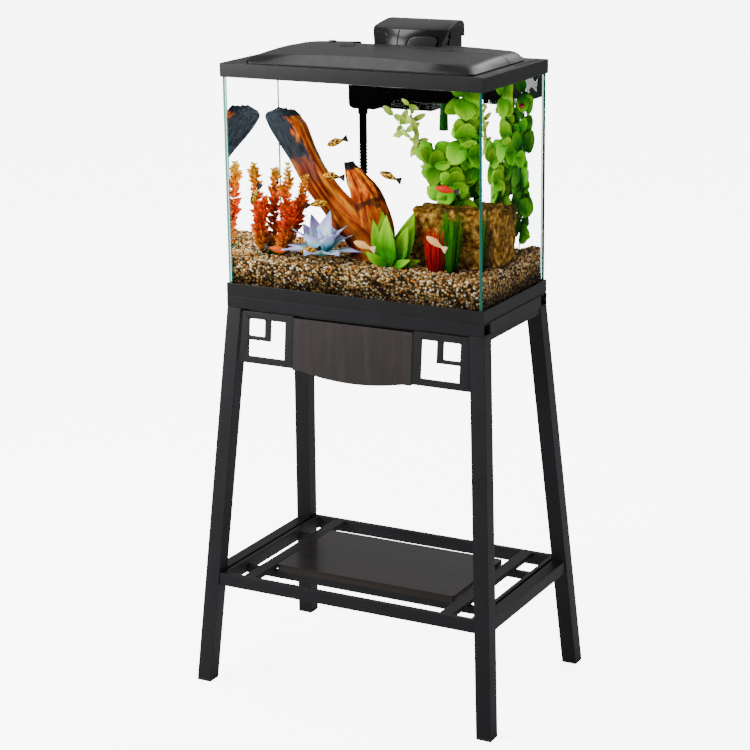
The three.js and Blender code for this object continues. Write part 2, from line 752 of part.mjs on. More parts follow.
// The deck drops into the top frame's rim. It has vents at each side, an access opening under
// the lid and a rear cut-out that the filter hangs through.
const deckX = rimX - DECK.clearance;
const deckY = rimY - DECK.clearance;
const ventsFrom = (x0, x1, firstY, count) => Array.from({ length: count }, (_, i) => {
  const y = firstY + i * VENT.pitch;
  return box(x0, x1, y, y + VENT.width, DECK.top - VENT.depth, DECK.top + OVERCUT);
});
add('hood_deck', cut(
  box(-deckX, deckX, -deckY, deckY, DECK.bottom, DECK.top),
  box(ACCESS.x0, ACCESS.x1, ACCESS.y0, ACCESS.y1, 0, DECK.top + OVERCUT),
  box(CUTOUT.x0, CUTOUT.x1, CUTOUT.y0, tankY, 0, DECK.top + OVERCUT),
  ...ventsFrom(VENT_REACH.leftOuter, VENT_REACH.leftInner, VENT.leftY, VENT.leftCount),
  ...ventsFrom(VENT_REACH.rightInner, VENT_REACH.rightOuter, VENT.rightY, VENT.rightCount),
), plastic());

// The light hangs under the deck, behind the access opening. Its lens fills the open underside.
const lightTop = DECK.bottom - GAP;
const lampX = LIGHT.x - LIGHT.wall;
const lampY0 = LIGHT.y0 + LIGHT.wall;
const lampY1 = LIGHT.y1 - LIGHT.wall;
add('light_bar', cut(
  box(-LIGHT.x, LIGHT.x, LIGHT.y0, LIGHT.y1, LIGHT.bottom, lightTop),
  box(-lampX, lampX, lampY0, lampY1, 0, lightTop - LIGHT.roof),
), plastic());
add('light_lens', box(
  GAP - lampX,
  lampX - GAP,
  lampY0 + GAP,
  lampY1 - GAP,
  LIGHT.bottom,
  LIGHT.bottom + LIGHT.lens,
), finish(0xf4f6f8, 0.35));

// The light's push button stands a little out of the rear cap.
const switchTop = crownHeight(SWITCH.x, SWITCH.y) + SWITCH.proud;
const switchBottom = switchTop - SWITCH.length;
add('light_switch', join(
  post(SWITCH.x, SWITCH.y, SWITCH.radius, switchBottom, switchTop),
  post(SWITCH.x, SWITCH.y, SWITCH.radius + SWITCH.flange, switchBottom, switchBottom + SWITCH.flange),
), finish(0x3a3b3e, 0.45));

// ---- Hang-on filter ----

// The box hangs behind the tank. A spillway runs forward from it, over the tank's rim.
const boxFrontInside = BOX.y0 + BOX.wall;
const boxInner = box(
  BOX.x0 + BOX.wall,
  BOX.x1 - BOX.wall,
  boxFrontInside,
  BOX.y1 - BOX.wall,
  BOX.bottom + BOX.wall,
  BOX.top + OVERCUT,
);
const channel = (y0, z1) => box(
  SPILL.x0 + SPILL.wall,
  SPILL.x1 - SPILL.wall,
  y0 - OVERCUT,
  boxFrontInside + OVERCUT,
  SPILL.z + SPILL.thickness,
  z1 + OVERCUT,
);
const spillway = cut(
  box(SPILL.x0, SPILL.x1, SPILL.y0, boxFrontInside, SPILL.z, SPILL.top),
  channel(SPILL.y0, SPILL.top),
  box(
    SHROUD.x0 + SPILL.pour,
    SPILL.x1 - SPILL.pour,
    SPILL.y0 + SPILL.pour,
    SHROUD.y1 - SPILL.pour,
    0,
    SPILL.top,
  ),
);
add('filter_box', join(
  cut(
    box(BOX.x0, BOX.x1, BOX.y0, BOX.y1, BOX.bottom, BOX.top),
    boxInner,
    channel(BOX.y0, BOX.top),
  ),
  spillway,
), plastic());

// The cover's front face bows forward in plan and widens upward to a ridge, and two steps lead
// from the ridge to the flat top.
const FRONT_STEPS = steps(-1, 1, 14);
const ridge = COVER_TOP[0];

function coverLoop({ z, front, half, bow }, rear, inset) {
  const frontEdge = FRONT_STEPS.map((s) => point(
    COVER.middle + (half - inset) * s,
    front + inset + bow * s * s,
    z,
  ));
  const rearEdgeOf = [1, -1].map((s) => point(COVER.middle + (half - inset) * s, rear, z));
  return [...frontEdge, ...rearEdgeOf];
}

function coverBody(inset) {
  const overrun = inset > 0 ? OVERCUT : 0;
  const face = COVER_FACE.map((section, level) => coverLoop(
    { ...section, z: section.z - (level === 0 ? overrun : inset) },
    COVER.frontEnd + overrun,
    inset,
  ));
  const top = COVER_TOP.map((section, level) => coverLoop(
    { ...section, z: section.z - inset },
    (level === COVER_TOP.length - 1 ? COVER.rearTop : COVER.rear) - inset,
    inset,
  ));
  const rearBlock = box(
    COVER.middle - ridge.half + inset,
    COVER.middle + ridge.half - inset,
    COVER.frontEnd - SHELL + inset,
    COVER.rear - inset,
    COVER.skirt - overrun,
    ridge.z + OVERCUT - inset,
  );
  return join(loft(face), rearBlock, loft(top));
}

add('filter_cover', cut(coverBody(0), coverBody(SHELL)), plastic());

// Inside the tank: the return shroud, and beside it the pump housing with its intake.
add('return_shroud', cut(
  box(SHROUD.x0, SHROUD.x1, SHROUD.y0, SHROUD.y1, SHROUD.bottom, SHROUD.top),
  box(
    SHROUD.x0 + SHELL,
    SHROUD.x1 - SHELL,
    SHROUD.y0 + SHELL,
    SHROUD.y1 - SHELL,
    0,
    SHROUD.top + OVERCUT,
  ),
), plastic());

const intakePost = (radius, z0, z1) => post(INTAKE.x, INTAKE.y, radius, z0, z1);
const pumpShape = roundedRectangle(PUMP.x0, PUMP.x1, PUMP.bottom, SHROUD.top, PUMP.corner);
const collarBottom = PUMP.bottom - COLLAR.length;
const chamberBottom = IMPELLER.bottom - CHAMBER.floor;
const chamberTop = IMPELLER.bottom + IMPELLER.height + CHAMBER.headroom;
add('pump_housing', cut(
  join(
    board(pumpShape, PUMP.y0, SHROUD.y1),
    intakePost(INTAKE.radius + COLLAR.wall, collarBottom, PUMP.bottom + OVERCUT),
  ),
  intakePost(CHAMBER.radius, chamberBottom, chamberTop),
  intakePost(INTAKE.radius + GAP, 0, chamberBottom + OVERCUT),
), plastic());

const blade = (i) => box(
  0,
  IMPELLER.reach,
  -IMPELLER.blade / 2,
  IMPELLER.blade / 2,
  IMPELLER.bottom,
  IMPELLER.bottom + IMPELLER.bladeHeight,
).rotateZ((i / IMPELLER.blades) * Math.PI * 2).translate(INTAKE.x, INTAKE.y, 0);
add('impeller', join(
  intakePost(IMPELLER.hub, IMPELLER.bottom, IMPELLER.bottom + IMPELLER.height),
  ...Array.from({ length: IMPELLER.blades }, (_, i) => blade(i)),
), finish(0xd8d8d4, 0.5));

const intakeTop = PUMP.bottom + INTAKE.socket;
add('intake_tube', cut(
  intakePost(INTAKE.radius, INTAKE.bottom, intakeTop),
  intakePost(INTAKE.bore, INTAKE.bottom - OVERCUT, intakeTop + OVERCUT),
), plastic());

// The strainer's ribs are rings around a hollow stem that is closed at the bottom.
const strainerLength = INTAKE.bottom - GAP - STRAINER.bottom;
const ribPitch = strainerLength / STRAINER.ribs;
const profilePoint = (radius, z) => new THREE.Vector2(radius, z);
const ribProfile = Array.from({ length: STRAINER.ribs }, (_, rib) => [
  profilePoint(STRAINER.radius, rib * ribPitch),
  profilePoint(STRAINER.radius, (rib + 0.45) * ribPitch),
  profilePoint(STRAINER.radius - STRAINER.groove, (rib + 0.55) * ribPitch),
  profilePoint(STRAINER.radius - STRAINER.groove, (rib + 0.9) * ribPitch),
]).flat();
add('strainer', new THREE.LatheGeometry([
  profilePoint(0, 0),
  ...ribProfile,
  profilePoint(STRAINER.radius, strainerLength),
  profilePoint(INTAKE.bore, strainerLength),
  profilePoint(INTAKE.bore, STRAINER.floor),
  profilePoint(0, STRAINER.floor),
], 14)
  .rotateX(Math.PI / 2)
  .translate(INTAKE.x, INTAKE.y, STRAINER.bottom), plastic());

const cartridgeShape = roundedRectangle(
  CARTRIDGE.x0,
  CARTRIDGE.x1,
  CARTRIDGE.y - CARTRIDGE.thickness / 2,
  CARTRIDGE.y + CARTRIDGE.thickness / 2,
  CARTRIDGE.corner,
);
const cartridge = slab(cartridgeShape, CARTRIDGE.bottom, CARTRIDGE.top);
add('filter_cartridge', cartridge, finish(0xdfe6ec, 0.95));

// ---- Contents ----

const bedX = insideX - GAP;
const bedY = insideY - GAP;

function gravelHeight(x, y) {
  const back = (y + bedY) / (2 * bedY);
  const ripple = GRAVEL.ripple * Math.sin(x / GRAVEL.rippleX) * Math.cos(y / GRAVEL.rippleY);
  const fromMound = ((x - MOUND.x) / MOUND.spreadX) ** 2 + ((y - MOUND.y) / MOUND.spreadY) ** 2;
  const mound = MOUND.height * Math.exp(-fromMound);
  return GRAVEL.front + GRAVEL.rise * back + ripple * Math.min(1, 4 * back) + mound;
}

const gravelOver = (lift) => heightSolid(
  steps(-bedX, bedX, 20),
  steps(-bedY, bedY, 10),
  floorTop + GAP,
  (x, y) => gravelHeight(x, y) + lift,
);
add('gravel_bed', gravelOver(0), finish(0x9a8468, 0.95));

const bedWithGap = gravelOver(GAP);

// Everything planted or laid on the gravel is trimmed to its surface.
function onGravel(name, geometry, material) {
  add(name, cut(geometry, bedWithGap), material);
}

// A limb: an oval section carried along a path, with a width and a depth at each point.
function limb(path, sides = 10) {
  return loft(path.map(([x, y, z, width, depth, tilt], level) => {
    const place = (_, i) => {
      const angle = (i / sides) * Math.PI * 2;
      const knot = 1 + 0.12 * Math.sin(3 * angle + level);
      const across = (width / 2) * Math.cos(angle) * knot;
      const along = (depth / 2) * Math.sin(angle) * knot;
      return point(x + across * Math.cos(tilt), y + along, z + across * Math.sin(tilt));
    };
    return Array.from({ length: sides }, place);
  }));
}

const mainArm = limb([
  [0, 2, 790, 100, 74, 0.1],
  [-14, 6, 838, 92, 66, 0.35],
  [-62, 14, 880, 74, 50, 0.5],
  [-110, 26, 930, 70, 44, 0.45],
  [-146, 38, 985, 70, 40, 0.25],
  [-176, 48, 1030, 66, 36, 0.15],
  [-196, 56, 1056, 42, 26, 0.1],
]);
const secondArm = limb([
  [2, 10, 800, 76, 56, 0],
  [-10, 14, 870, 66, 48, 0.25],
  [-26, 16, 920, 56, 38, 0.3],
  [-46, 18, 955, 36, 28, 0.3],
  [-60, 20, 976, 20, 18, 0.2],
]);
onGravel('driftwood', join(mainArm, secondArm), finish(0x8a4a22, 0.85));

const stoneLoop = (inset, z) => roundedRectangle(
  STONE.x0 + inset,
  STONE.x1 - inset,
  STONE.y0 + inset,
  STONE.y1 - inset,
  STONE.corner,
).getPoints(3).slice(0, -1).map((p) => point(p.x, p.y, z));
onGravel('stone_block', loft([
  stoneLoop(0, floorTop + OVERCUT),
  stoneLoop(0, STONE.top - STONE.shoulder),
  stoneLoop(STONE.inset, STONE.top),
]), finish(0x7a6238, 0.95));

// The flower: pointed petals that rise from a shared middle.
function petal(i) {
  const turn = (i / FLOWER.petals) * Math.PI * 2 + 0.2;
  const back = Math.max(0, Math.sin(turn));
  const rise = 0.3 + 0.75 * back;
  const loops = [0, 0.45, 0.8, 1].map((t, level) => {
    const half = (FLOWER.width / 2) * [0.55, 1, 0.6, 0.08][level];
    const thick = FLOWER.thickness / 2 * (1 - 0.6 * t);
    const out = FLOWER.length * (1 + 0.3 * back) * t;
    return [
      point(out, -half, -thick),
      point(out, half, -thick),
      point(out, half, thick),
      point(out, -half, thick),
    ];
  });
  return loft(loops)
    .rotateY(-rise)
    .rotateZ(turn)
    .translate(FLOWER.x, FLOWER.y, FLOWER.z + FLOWER.cup / 2);
}

onGravel('flower_ornament', join(
  post(FLOWER.x, FLOWER.y, FLOWER.cup, FLOWER.z - FLOWER.cup, FLOWER.z + FLOWER.cup, 12),
  ...Array.from({ length: FLOWER.petals }, (_, i) => petal(i)),
), finish(0xbfe3ea, 0.6));

// Plants: plain envelopes of their foliage, widest where the leaves are.
function bush(levels, sides = 10) {
  return loft(levels.map(([x, y, z, radiusX, radiusY]) => {
    const place = (_, i) => {
      const angle = (i / sides) * Math.PI * 2;
      return point(x + radiusX * Math.cos(angle), y + radiusY * Math.sin(angle), z);
    };
    return Array.from({ length: sides }, place);
  }));
}

onGravel('plant_red_bush', bush([
  [-192, -42, 790, 22, 16],
  [-193, -42, 850, 32, 22],
  [-190, -42, 930, 54, 28],
  [-192, -40, 995, 34, 16],
]), finish(0xb5402a, 0.8));

onGravel('plant_broadleaf', bush([
  [48, -52, 790, 12, 10],
  [50, -52, 835, 26, 12],
  [52, -50, 880, 22, 10],
  [54, -50, 905, 8, 6],
]), finish(0x6fae2c, 0.7));

onGravel('plant_tall', bush([
  [150, 78, 790, 40, 14],
  [150, 78, 900, 60, 30],
  [155, 78, 1000, 68, 30],
  [165, 78, 1070, 50, 18],
  [170, 80, 1122, 34, 12],
]), finish(0x3f8f2a, 0.7));

export default aquarium;
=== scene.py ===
import json
import math
import random

import bmesh
import bpy
from mathutils import Matrix, Vector, noise


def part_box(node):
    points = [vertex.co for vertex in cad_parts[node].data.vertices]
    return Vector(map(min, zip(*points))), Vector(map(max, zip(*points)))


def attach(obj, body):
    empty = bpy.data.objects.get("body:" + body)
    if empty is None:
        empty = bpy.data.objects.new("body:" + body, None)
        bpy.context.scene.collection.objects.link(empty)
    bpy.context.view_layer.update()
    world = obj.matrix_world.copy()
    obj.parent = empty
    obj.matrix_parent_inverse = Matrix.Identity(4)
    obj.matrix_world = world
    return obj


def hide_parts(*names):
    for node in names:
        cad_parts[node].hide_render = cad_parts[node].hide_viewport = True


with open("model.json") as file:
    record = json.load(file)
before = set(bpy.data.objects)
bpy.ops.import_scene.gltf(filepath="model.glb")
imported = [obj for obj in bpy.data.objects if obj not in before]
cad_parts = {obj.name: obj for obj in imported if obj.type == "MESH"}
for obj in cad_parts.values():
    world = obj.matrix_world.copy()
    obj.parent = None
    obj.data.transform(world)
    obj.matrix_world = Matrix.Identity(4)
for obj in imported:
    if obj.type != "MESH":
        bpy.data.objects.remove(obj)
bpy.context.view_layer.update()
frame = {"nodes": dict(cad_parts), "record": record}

MM = 0.001
TANK_BODY = "stand_and_tank"
UP = Vector((0, 0, 1))


def millimetres(node):
    """The lowest and highest corner of a CAD node in millimetres."""
    low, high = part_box(node)
    return low / MM, high / MM


def on_circle(angle, z=0, radius=1):
    """A point on a level circle around the Z axis, at a height of z."""
    return Vector((radius * math.cos(angle), radius * math.sin(angle), z))


def direction(turn, rise):
    """A unit vector turned from +X towards +Y and raised above level, both in radians."""
    return Vector((
        math.cos(turn) * math.cos(rise),
        math.sin(turn) * math.cos(rise),
        math.sin(rise),
    ))


# ---- Node trees ----


class Graph:
    """A node tree, with short calls for the nodes used here."""

    def __init__(self, tree):
        self.tree = tree

    def feed(self, socket, value):
        """Links a node's output to a socket, or sets the socket's own value."""
        if isinstance(value, bpy.types.NodeSocket):
            self.tree.links.new(value, socket)
        else:
            socket.default_value = value

    def node(self, kind, inputs=None, **settings):
        node = self.tree.nodes.new(kind)
        for key, value in settings.items():
            setattr(node, key, value)
        for key, value in (inputs or {}).items():
            self.feed(node.inputs[key], value)
        return node

    def math(self, operation, a, b=0.0):
        return self.node("ShaderNodeMath", {0: a, 1: b}, operation=operation).outputs[0]

    def span(self, value, low, high, to_low=0.0, to_high=1.0):
        inputs = {"Value": value, "From Min": low, "From Max": high, "To Min": to_low, "To Max": to_high}
        return self.node("ShaderNodeMapRange", inputs).outputs[0]


# ---- Meshes ----


def smooth_by_angle(degrees):
    """A node group that shades faces smooth, apart from edges that turn by more than an angle."""
    group = bpy.data.node_groups.new(f"smooth_{degrees}", "GeometryNodeTree")
    for way in ("INPUT", "OUTPUT"):
        group.interface.new_socket("Geometry", in_out=way, socket_type="NodeSocketGeometry")
    graph = Graph(group)
    start = graph.node("NodeGroupInput").outputs[0]
    faces = graph.node("GeometryNodeSetShadeSmooth", {"Geometry": start}, domain="FACE").outputs[0]
    angle = graph.node("GeometryNodeInputMeshEdgeAngle").outputs["Unsigned Angle"]
    sharp = graph.node("FunctionNodeCompare", data_type="FLOAT", operation="GREATER_THAN")
    graph.feed(sharp.inputs[0], angle)
    graph.feed(sharp.inputs[1], math.radians(degrees))
    inputs = {"Geometry": faces, "Selection": sharp.outputs[0], "Shade Smooth": False}
    edges = graph.node("GeometryNodeSetShadeSmooth", inputs, domain="EDGE").outputs[0]
    graph.node("NodeGroupOutput", {0: edges})
    return group


# In degrees: edges that turn by more than these stay sharp, or are bevelled.
SMOOTH_ANGLE = 34
BEVEL_ANGLE = 38
SMOOTH = smooth_by_angle(SMOOTH_ANGLE)
# How strongly the shading of a bevelled piece follows its large faces, which keeps them flat.
FLAT_FACE_WEIGHT = 90


def soften(obj, bevel=0.0):
    """Joins split corners, rounds sharp edges by the bevel's width and shades the rest smooth."""
    weld = obj.modifiers.new("weld", "WELD")
    weld.merge_threshold = 0.02 * MM
    if bevel:
        round_edges = obj.modifiers.new("bevel", "BEVEL")
        round_edges.width = bevel * MM
        round_edges.segments = 2
        round_edges.limit_method = "ANGLE"
        round_edges.angle_limit = math.radians(BEVEL_ANGLE)
    shading = obj.modifiers.new("smooth", "NODES")
    shading.node_group = SMOOTH
    if bevel:
        flat = obj.modifiers.new("flat_faces", "WEIGHTED_NORMAL")
        flat.keep_sharp = True
        flat.weight = FLAT_FACE_WEIGHT


def thicken(obj, thickness, offset=0):
    """Gives a sheet a thickness: to both sides, or against its normals with an offset of -1."""
    solid = obj.modifiers.new("thickness", "SOLIDIFY")
    solid.thickness = thickness * MM
    solid.offset = offset


def add_piece(name, points, faces, material, body, replaced=(), uvs=None):
    """A new mesh piece from points in millimetres, riding on a body."""
    mesh = bpy.data.meshes.new(name)
    mesh.from_pydata([Vector(p) * MM for p in points], [], faces)
    if uvs:
        layer = mesh.uv_layers.new(name="UVMap")
        for loop in mesh.loops:
            layer.data[loop.index].uv = uvs[loop.vertex_index]
    mesh.materials.append(material)
    mesh.shade_smooth()
    obj = bpy.data.objects.new(name, mesh)
    bpy.context.collection.objects.link(obj)
    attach(obj, body)
    if replaced:
        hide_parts(*replaced)
    return obj


def loft(loops):
    """Points and faces of a closed solid through loops that have the same number of points."""
    sides = len(loops[0])
    points = [p for loop in loops for p in loop]
    faces = [tuple(reversed(range(sides)))]
    for level in range(len(loops) - 1):
        for i in range(sides):
            a = level * sides + i
            b = level * sides + (i + 1) % sides
            faces.append((a, b, b + sides, a + sides))
    faces.append(tuple(range(len(points) - sides, len(points))))
    return points, faces


def smooth_path(path, count):
    """Points on one smooth curve through the path's points, evenly spaced in its parameter."""
    rows = [Vector(p) for p in path]
    rows = [2 * rows[0] - rows[1], *rows, 2 * rows[-1] - rows[-2]]
    result = []
    for i in range(count + 1):
        place = i / count * (len(path) - 1)
        k = min(int(place), len(path) - 2)
        t = place - k
        a, b, c, d = rows[k : k + 4]
        result.append(
            0.5 * (2 * b + (c - a) * t + (2 * a - 5 * b + 4 * c - d) * t**2 + (3 * b - a - 3 * c + d) * t**3)
        )
    return result


class Sheets:
    """Collects leaves and petals in one mesh. Each has its UV across and along it."""

    def __init__(self):
        self.points = []
        self.faces = []
        self.uvs = []

    def leaf(self, base, heading, length, width, outline, up=UP, curl=0.0, fold=0.2, rows=7, columns=4):
        """One leaf. Its outline gives its width along it, curl lifts its tip and fold its two sides."""
        heading = Vector(heading).normalized()
        side = heading.cross(up)
        side = side.normalized() if side.length > 1e-4 else Vector((1, 0, 0))
        lift = side.cross(heading).normalized()
        first = len(self.points)
        for row in range(rows + 1):
            t = row / rows
            half = width / 2 * max(outline(t), 0.03)
            middle = Vector(base) + heading * (length * t) + lift * (curl * length * t * t)
            for column in range(columns + 1):
                s = 2 * column / columns - 1
                ripple = 0.04 * width * math.sin(9 * t + 4 * s) * abs(s)
                self.points.append(middle + side * (half * s) + lift * (fold * half * abs(s) + ripple))
                self.uvs.append(((s + 1) / 2, t))
        for row in range(rows):
            for column in range(columns):
                a = first + row * (columns + 1) + column
                self.faces.append((a, a + 1, a + columns + 2, a + columns + 1))

    def stem(self, path, radius, count=14):
        """A stem that thins to half its radius. Gives back the points along its middle."""
        sides = 6
        middles = smooth_path(path, count)
        loops = []
        for level, middle in enumerate(middles):
            size = radius * (1 - 0.5 * level / count)
            loops.append([
                middle + on_circle(2 * math.pi * i / sides, radius=size)
                for i in range(sides)
            ])
        points, faces = loft(loops)
        first = len(self.points)
        self.points += points
        self.faces += [tuple(first + i for i in face) for face in faces]
        self.uvs += [(0.5, 0.05)] * len(points)
        return middles

    def piece(self, name, material, slot, replaced=(), thickness=0.5):
        """Makes one piece of all the sheets so far."""
        obj = add_piece(name, self.points, self.faces, material, TANK_BODY, replaced, self.uvs)
        thicken(obj, thickness)


# Outlines: the share of a leaf's width at each place along it, from 0 at its foot to 1 at its tip.


def pointed(t):
    return math.sin(math.pi * t**0.75) ** 0.9 if 0 < t < 1 else 0


def rounded(t):
    return math.sqrt(max(math.sin(math.pi * t**0.85), 0))


def blade(t):
    return (1 - t) ** 0.6


# ---- Materials ----


# Colours of the contents are raised to these powers, which makes them deeper.
DEEP = 1.9
GRAVEL_DEEP = 1.4
STONE_DEEP = 2.3
PETAL_DEEP = 1.15


class Look(Graph):
    """A material of nodes that feed one Principled shader."""

    def __init__(
        self, name, color=(0.5, 0.5, 0.5), roughness=0.5, specular=0.5, coat=0.0, metallic=0.0, depth=1.0,
    ):
        self.depth = depth
        self.material = bpy.data.materials.new(name)
        self.material.use_nodes = True
        super().__init__(self.material.node_tree)
        self.shader = self.tree.nodes["Principled BSDF"]
        self.output = self.tree.nodes["Material Output"]
        self.set("Base Color", (*color, 1))
        self.set("Roughness", roughness)
        self.set("Specular IOR Level", specular)
        self.set("Coat Weight", coat)
        self.set("Metallic", metallic)

    def set(self, name, value):
        self.feed(self.shader.inputs[name], value)

    def place(self, stretch=(1, 1, 1), source="Object"):
        coordinates = self.node("ShaderNodeTexCoord")
        inputs = {"Vector": coordinates.outputs[source], "Scale": stretch}
        return self.node("ShaderNodeMapping", inputs).outputs[0]

    def noise(self, scale, detail=4.0, stretch=(1, 1, 1), distortion=0.0):
        inputs = {"Vector": self.place(stretch), "Scale": scale, "Detail": detail, "Distortion": distortion}
        return self.node("ShaderNodeTexNoise", inputs).outputs["Fac"]

    def axis(self, name, source="Object"):
        parts = self.node("ShaderNodeSeparateXYZ", {"Vector": self.place(source=source)})
        return parts.outputs[name]

    def geometry(self, name):
        return self.node("ShaderNodeNewGeometry").outputs[name]

    def ramp(self, factor, stops, step=False):
        node = self.node("ShaderNodeValToRGB", {"Fac": factor})
        elements = node.color_ramp.elements
        node.color_ramp.interpolation = "CONSTANT" if step else "LINEAR"
        while len(elements) < len(stops):
            elements.new(0.5)
        for element, (position, color) in zip(elements, stops):
            element.position = position
            element.color = (*(c**self.depth for c in color), 1)
        return node.outputs["Color"]

    def mix(self, factor, first, second, blend_type="MIX"):
        inputs = {"Fac": factor, "Color1": first, "Color2": second}
        return self.node("ShaderNodeMixRGB", inputs, blend_type=blend_type).outputs[0]

    def blend(self, factor, first, second):
        """The first shader where the factor is 0, and the second where it is 1."""
        return self.node("ShaderNodeMixShader", {0: factor, 1: first, 2: second}).outputs[0]

    def color(self, value):
        self.set("Base Color", value)

    def soft(self, weight, radius):
        """Lets some light through just under the surface."""
        self.set("Subsurface Weight", weight)
        self.set("Subsurface Radius", radius)

    def bump(self, height, strength, distance):
        inputs = {"Height": height, "Strength": strength, "Distance": distance * MM}
        self.set("Normal", self.node("ShaderNodeBump", inputs).outputs[0])
        return self


def moulded(name, color, roughness, grain, grain_strength, specular=0.5, metallic=0.0):
    """A plain material with fine grain, soft uneven patches and a slightly uneven gloss."""
    look = Look(name, color, roughness, specular, metallic=metallic)
    patches = look.noise(14, 5)
    dark = tuple(0.9 * c for c in color)
    light = tuple(1.12 * c for c in color)
    look.color(look.ramp(patches, [(0.3, dark), (0.7, light)]))
    look.set("Roughness", look.span(look.noise(40, 3), 0.3, 0.7, roughness - 0.02, roughness + 0.03))
    return look.bump(look.noise(grain, 2), grain_strength, 0.12).material


def wood(name, stretch, colors, roughness, coat):
    """Stained veneer: fine streaks along the grain under a lacquer."""
    look = Look(name, roughness=roughness, specular=0.2, coat=coat)
    streaks = look.noise(60, 8, stretch, 0.6)
    pores = look.noise(420, 4, stretch)
    stops = [(0.3 + 0.4 * i / (len(colors) - 1), c) for i, c in enumerate(colors)]
    grain = look.ramp(streaks, stops)
    look.color(look.mix(look.span(pores, 0.45, 0.7, 0.0, 0.45), grain, (*[0.5 * c for c in colors[0]], 1)))
    look.set("Coat Roughness", 0.12)
    return look.bump(pores, 0.12, 0.1).material


# How much a pane mirrors: its index of refraction, and the share that is kept of the result.
PANE_IOR = 1.35
PANE_SHINE = 0.2


def pane_glass(name, thin_axis, edge_color):
    """Clear float glass. Its cut edges, which face across the pane, are green."""
    look = Look(name, edge_color, 0.15)
    clear = look.node("ShaderNodeBsdfTransparent", {"Color": (0.985, 0.995, 0.99, 1)}).outputs[0]
    gloss = look.node("ShaderNodeBsdfGlossy", {"Color": (1, 1, 1, 1), "Roughness": 0.02}).outputs[0]
    fresnel = look.node("ShaderNodeFresnel", {"IOR": PANE_IOR}).outputs[0]
    outer = look.math("SUBTRACT", 1.0, look.geometry("Backfacing"))
    shine = look.math("MULTIPLY", look.math("MULTIPLY", fresnel, PANE_SHINE), outer)
    across = look.node("ShaderNodeSeparateXYZ", {"Vector": look.geometry("Normal")}).outputs[thin_axis]
    on_edge = look.math("LESS_THAN", look.math("ABSOLUTE", across), 0.5)
    look.color(look.ramp(look.axis("Z"), [(0.0, edge_color), (1.0, tuple(1.25 * c for c in edge_color))]))
    whole = look.blend(on_edge, look.blend(shine, clear, gloss), look.shader.outputs[0])
    look.feed(look.output.inputs["Surface"], whole)
    return look.material


# Water's index of refraction.
WATER_IOR = 1.33
# The water mirrors only where its Fresnel value is above this, as it is in total reflection.
MIRROR_FROM = 0.5


def water_look():
    """Water that bends light. The lamps' light passes straight through to what stands in it."""
    look = Look("water", (1, 1, 1), 0.0)
    look.set("IOR", WATER_IOR)
    look.set("Transmission Weight", 1.0)
    clear = look.node("ShaderNodeBsdfTransparent", {"Color": (1, 1, 1, 1)}).outputs[0]
    path = look.node("ShaderNodeLightPath").outputs
    passes = look.math("MAXIMUM", path["Is Shadow Ray"], path["Is Diffuse Ray"])
    fresnel = look.node("ShaderNodeFresnel", {"IOR": WATER_IOR}).outputs[0]
    mirrors = look.math("GREATER_THAN", fresnel, MIRROR_FROM)
    inputs = {"Color": (1, 1, 1, 1), "Roughness": 0.0, "IOR": WATER_IOR}
    bend = look.node("ShaderNodeBsdfRefraction", inputs).outputs[0]
    body = look.blend(mirrors, bend, look.shader.outputs[0])
    look.feed(look.output.inputs["Surface"], look.blend(passes, body, clear))
    return look.material


# The small stones' colours. Each holds from its place in a range of 0 to 1 up to the next.
STONE_COLORS = [
    (0.0, (0.12, 0.07, 0.035)),
    (0.16, (0.36, 0.22, 0.10)),
    (0.34, (0.66, 0.42, 0.18)),
    (0.56, (0.84, 0.64, 0.34)),
    (0.74, (0.98, 0.92, 0.74)),
    (0.86, (0.80, 0.34, 0.08)),
    (0.93, (0.03, 0.03, 0.035)),
]
# The gravel's lowest height in sight and its height at the front pane.
BED_FOOT, BED_FRONT = 768, 803


def gravel_look():
    """Small stones of mixed colours in a bed, with painted shade in the gaps where they meet and towards the
    bottom.
    """
    look = Look("gravel_bed", roughness=0.6, specular=0.0, depth=GRAVEL_DEEP)
    cells = look.node("ShaderNodeTexVoronoi", {"Vector": look.place((1, 1, 1.25)), "Scale": 215.0})
    pick = look.node("ShaderNodeSeparateColor", {"Color": cells.outputs["Color"]}).outputs[0]
    stones = look.ramp(pick, STONE_COLORS, step=True)
    # Painted shade: the gaps between the stones are darkened.
    gap_shade = look.span(cells.outputs["Distance"], 0.30, 0.62, 0.0, 0.92)
    # Painted shade: the bed is darker towards the bottom, down to 0.22 at its lowest place in sight.
    low = look.span(look.axis("Z"), BED_FOOT * MM, BED_FRONT * MM, 0.22, 1.0)
    patches = look.span(look.noise(16, 3), 0.35, 0.65, 0.5, 1.2)
    # The painted shade towards the bottom, times soft patches of uneven tone.
    tone = look.math("MULTIPLY", low, patches)
    look.color(look.mix(1.0, look.mix(gap_shade, stones, (0.010, 0.006, 0.003, 1)), tone, "MULTIPLY"))
    return look.bump(cells.outputs["Distance"], -0.8, 2.0).material


def pebble_look():
    """Loose stones, each in one of the gravel's colours and a little worn."""
    look = Look("pebbles", roughness=0.5, specular=0.0, depth=GRAVEL_DEEP)
    random_color = look.geometry("Random Per Island")
    stones = look.ramp(random_color, STONE_COLORS, step=True)
    worn = look.mix(look.span(look.noise(700), 0.35, 0.7, 0.0, 0.35), stones, (0.12, 0.07, 0.03, 1))
    patches = look.span(look.noise(16, 3), 0.35, 0.65, 0.55, 1.15)
    look.color(look.mix(1.0, worn, patches, "MULTIPLY"))
    return look.bump(look.noise(900), 0.3, 0.3).material


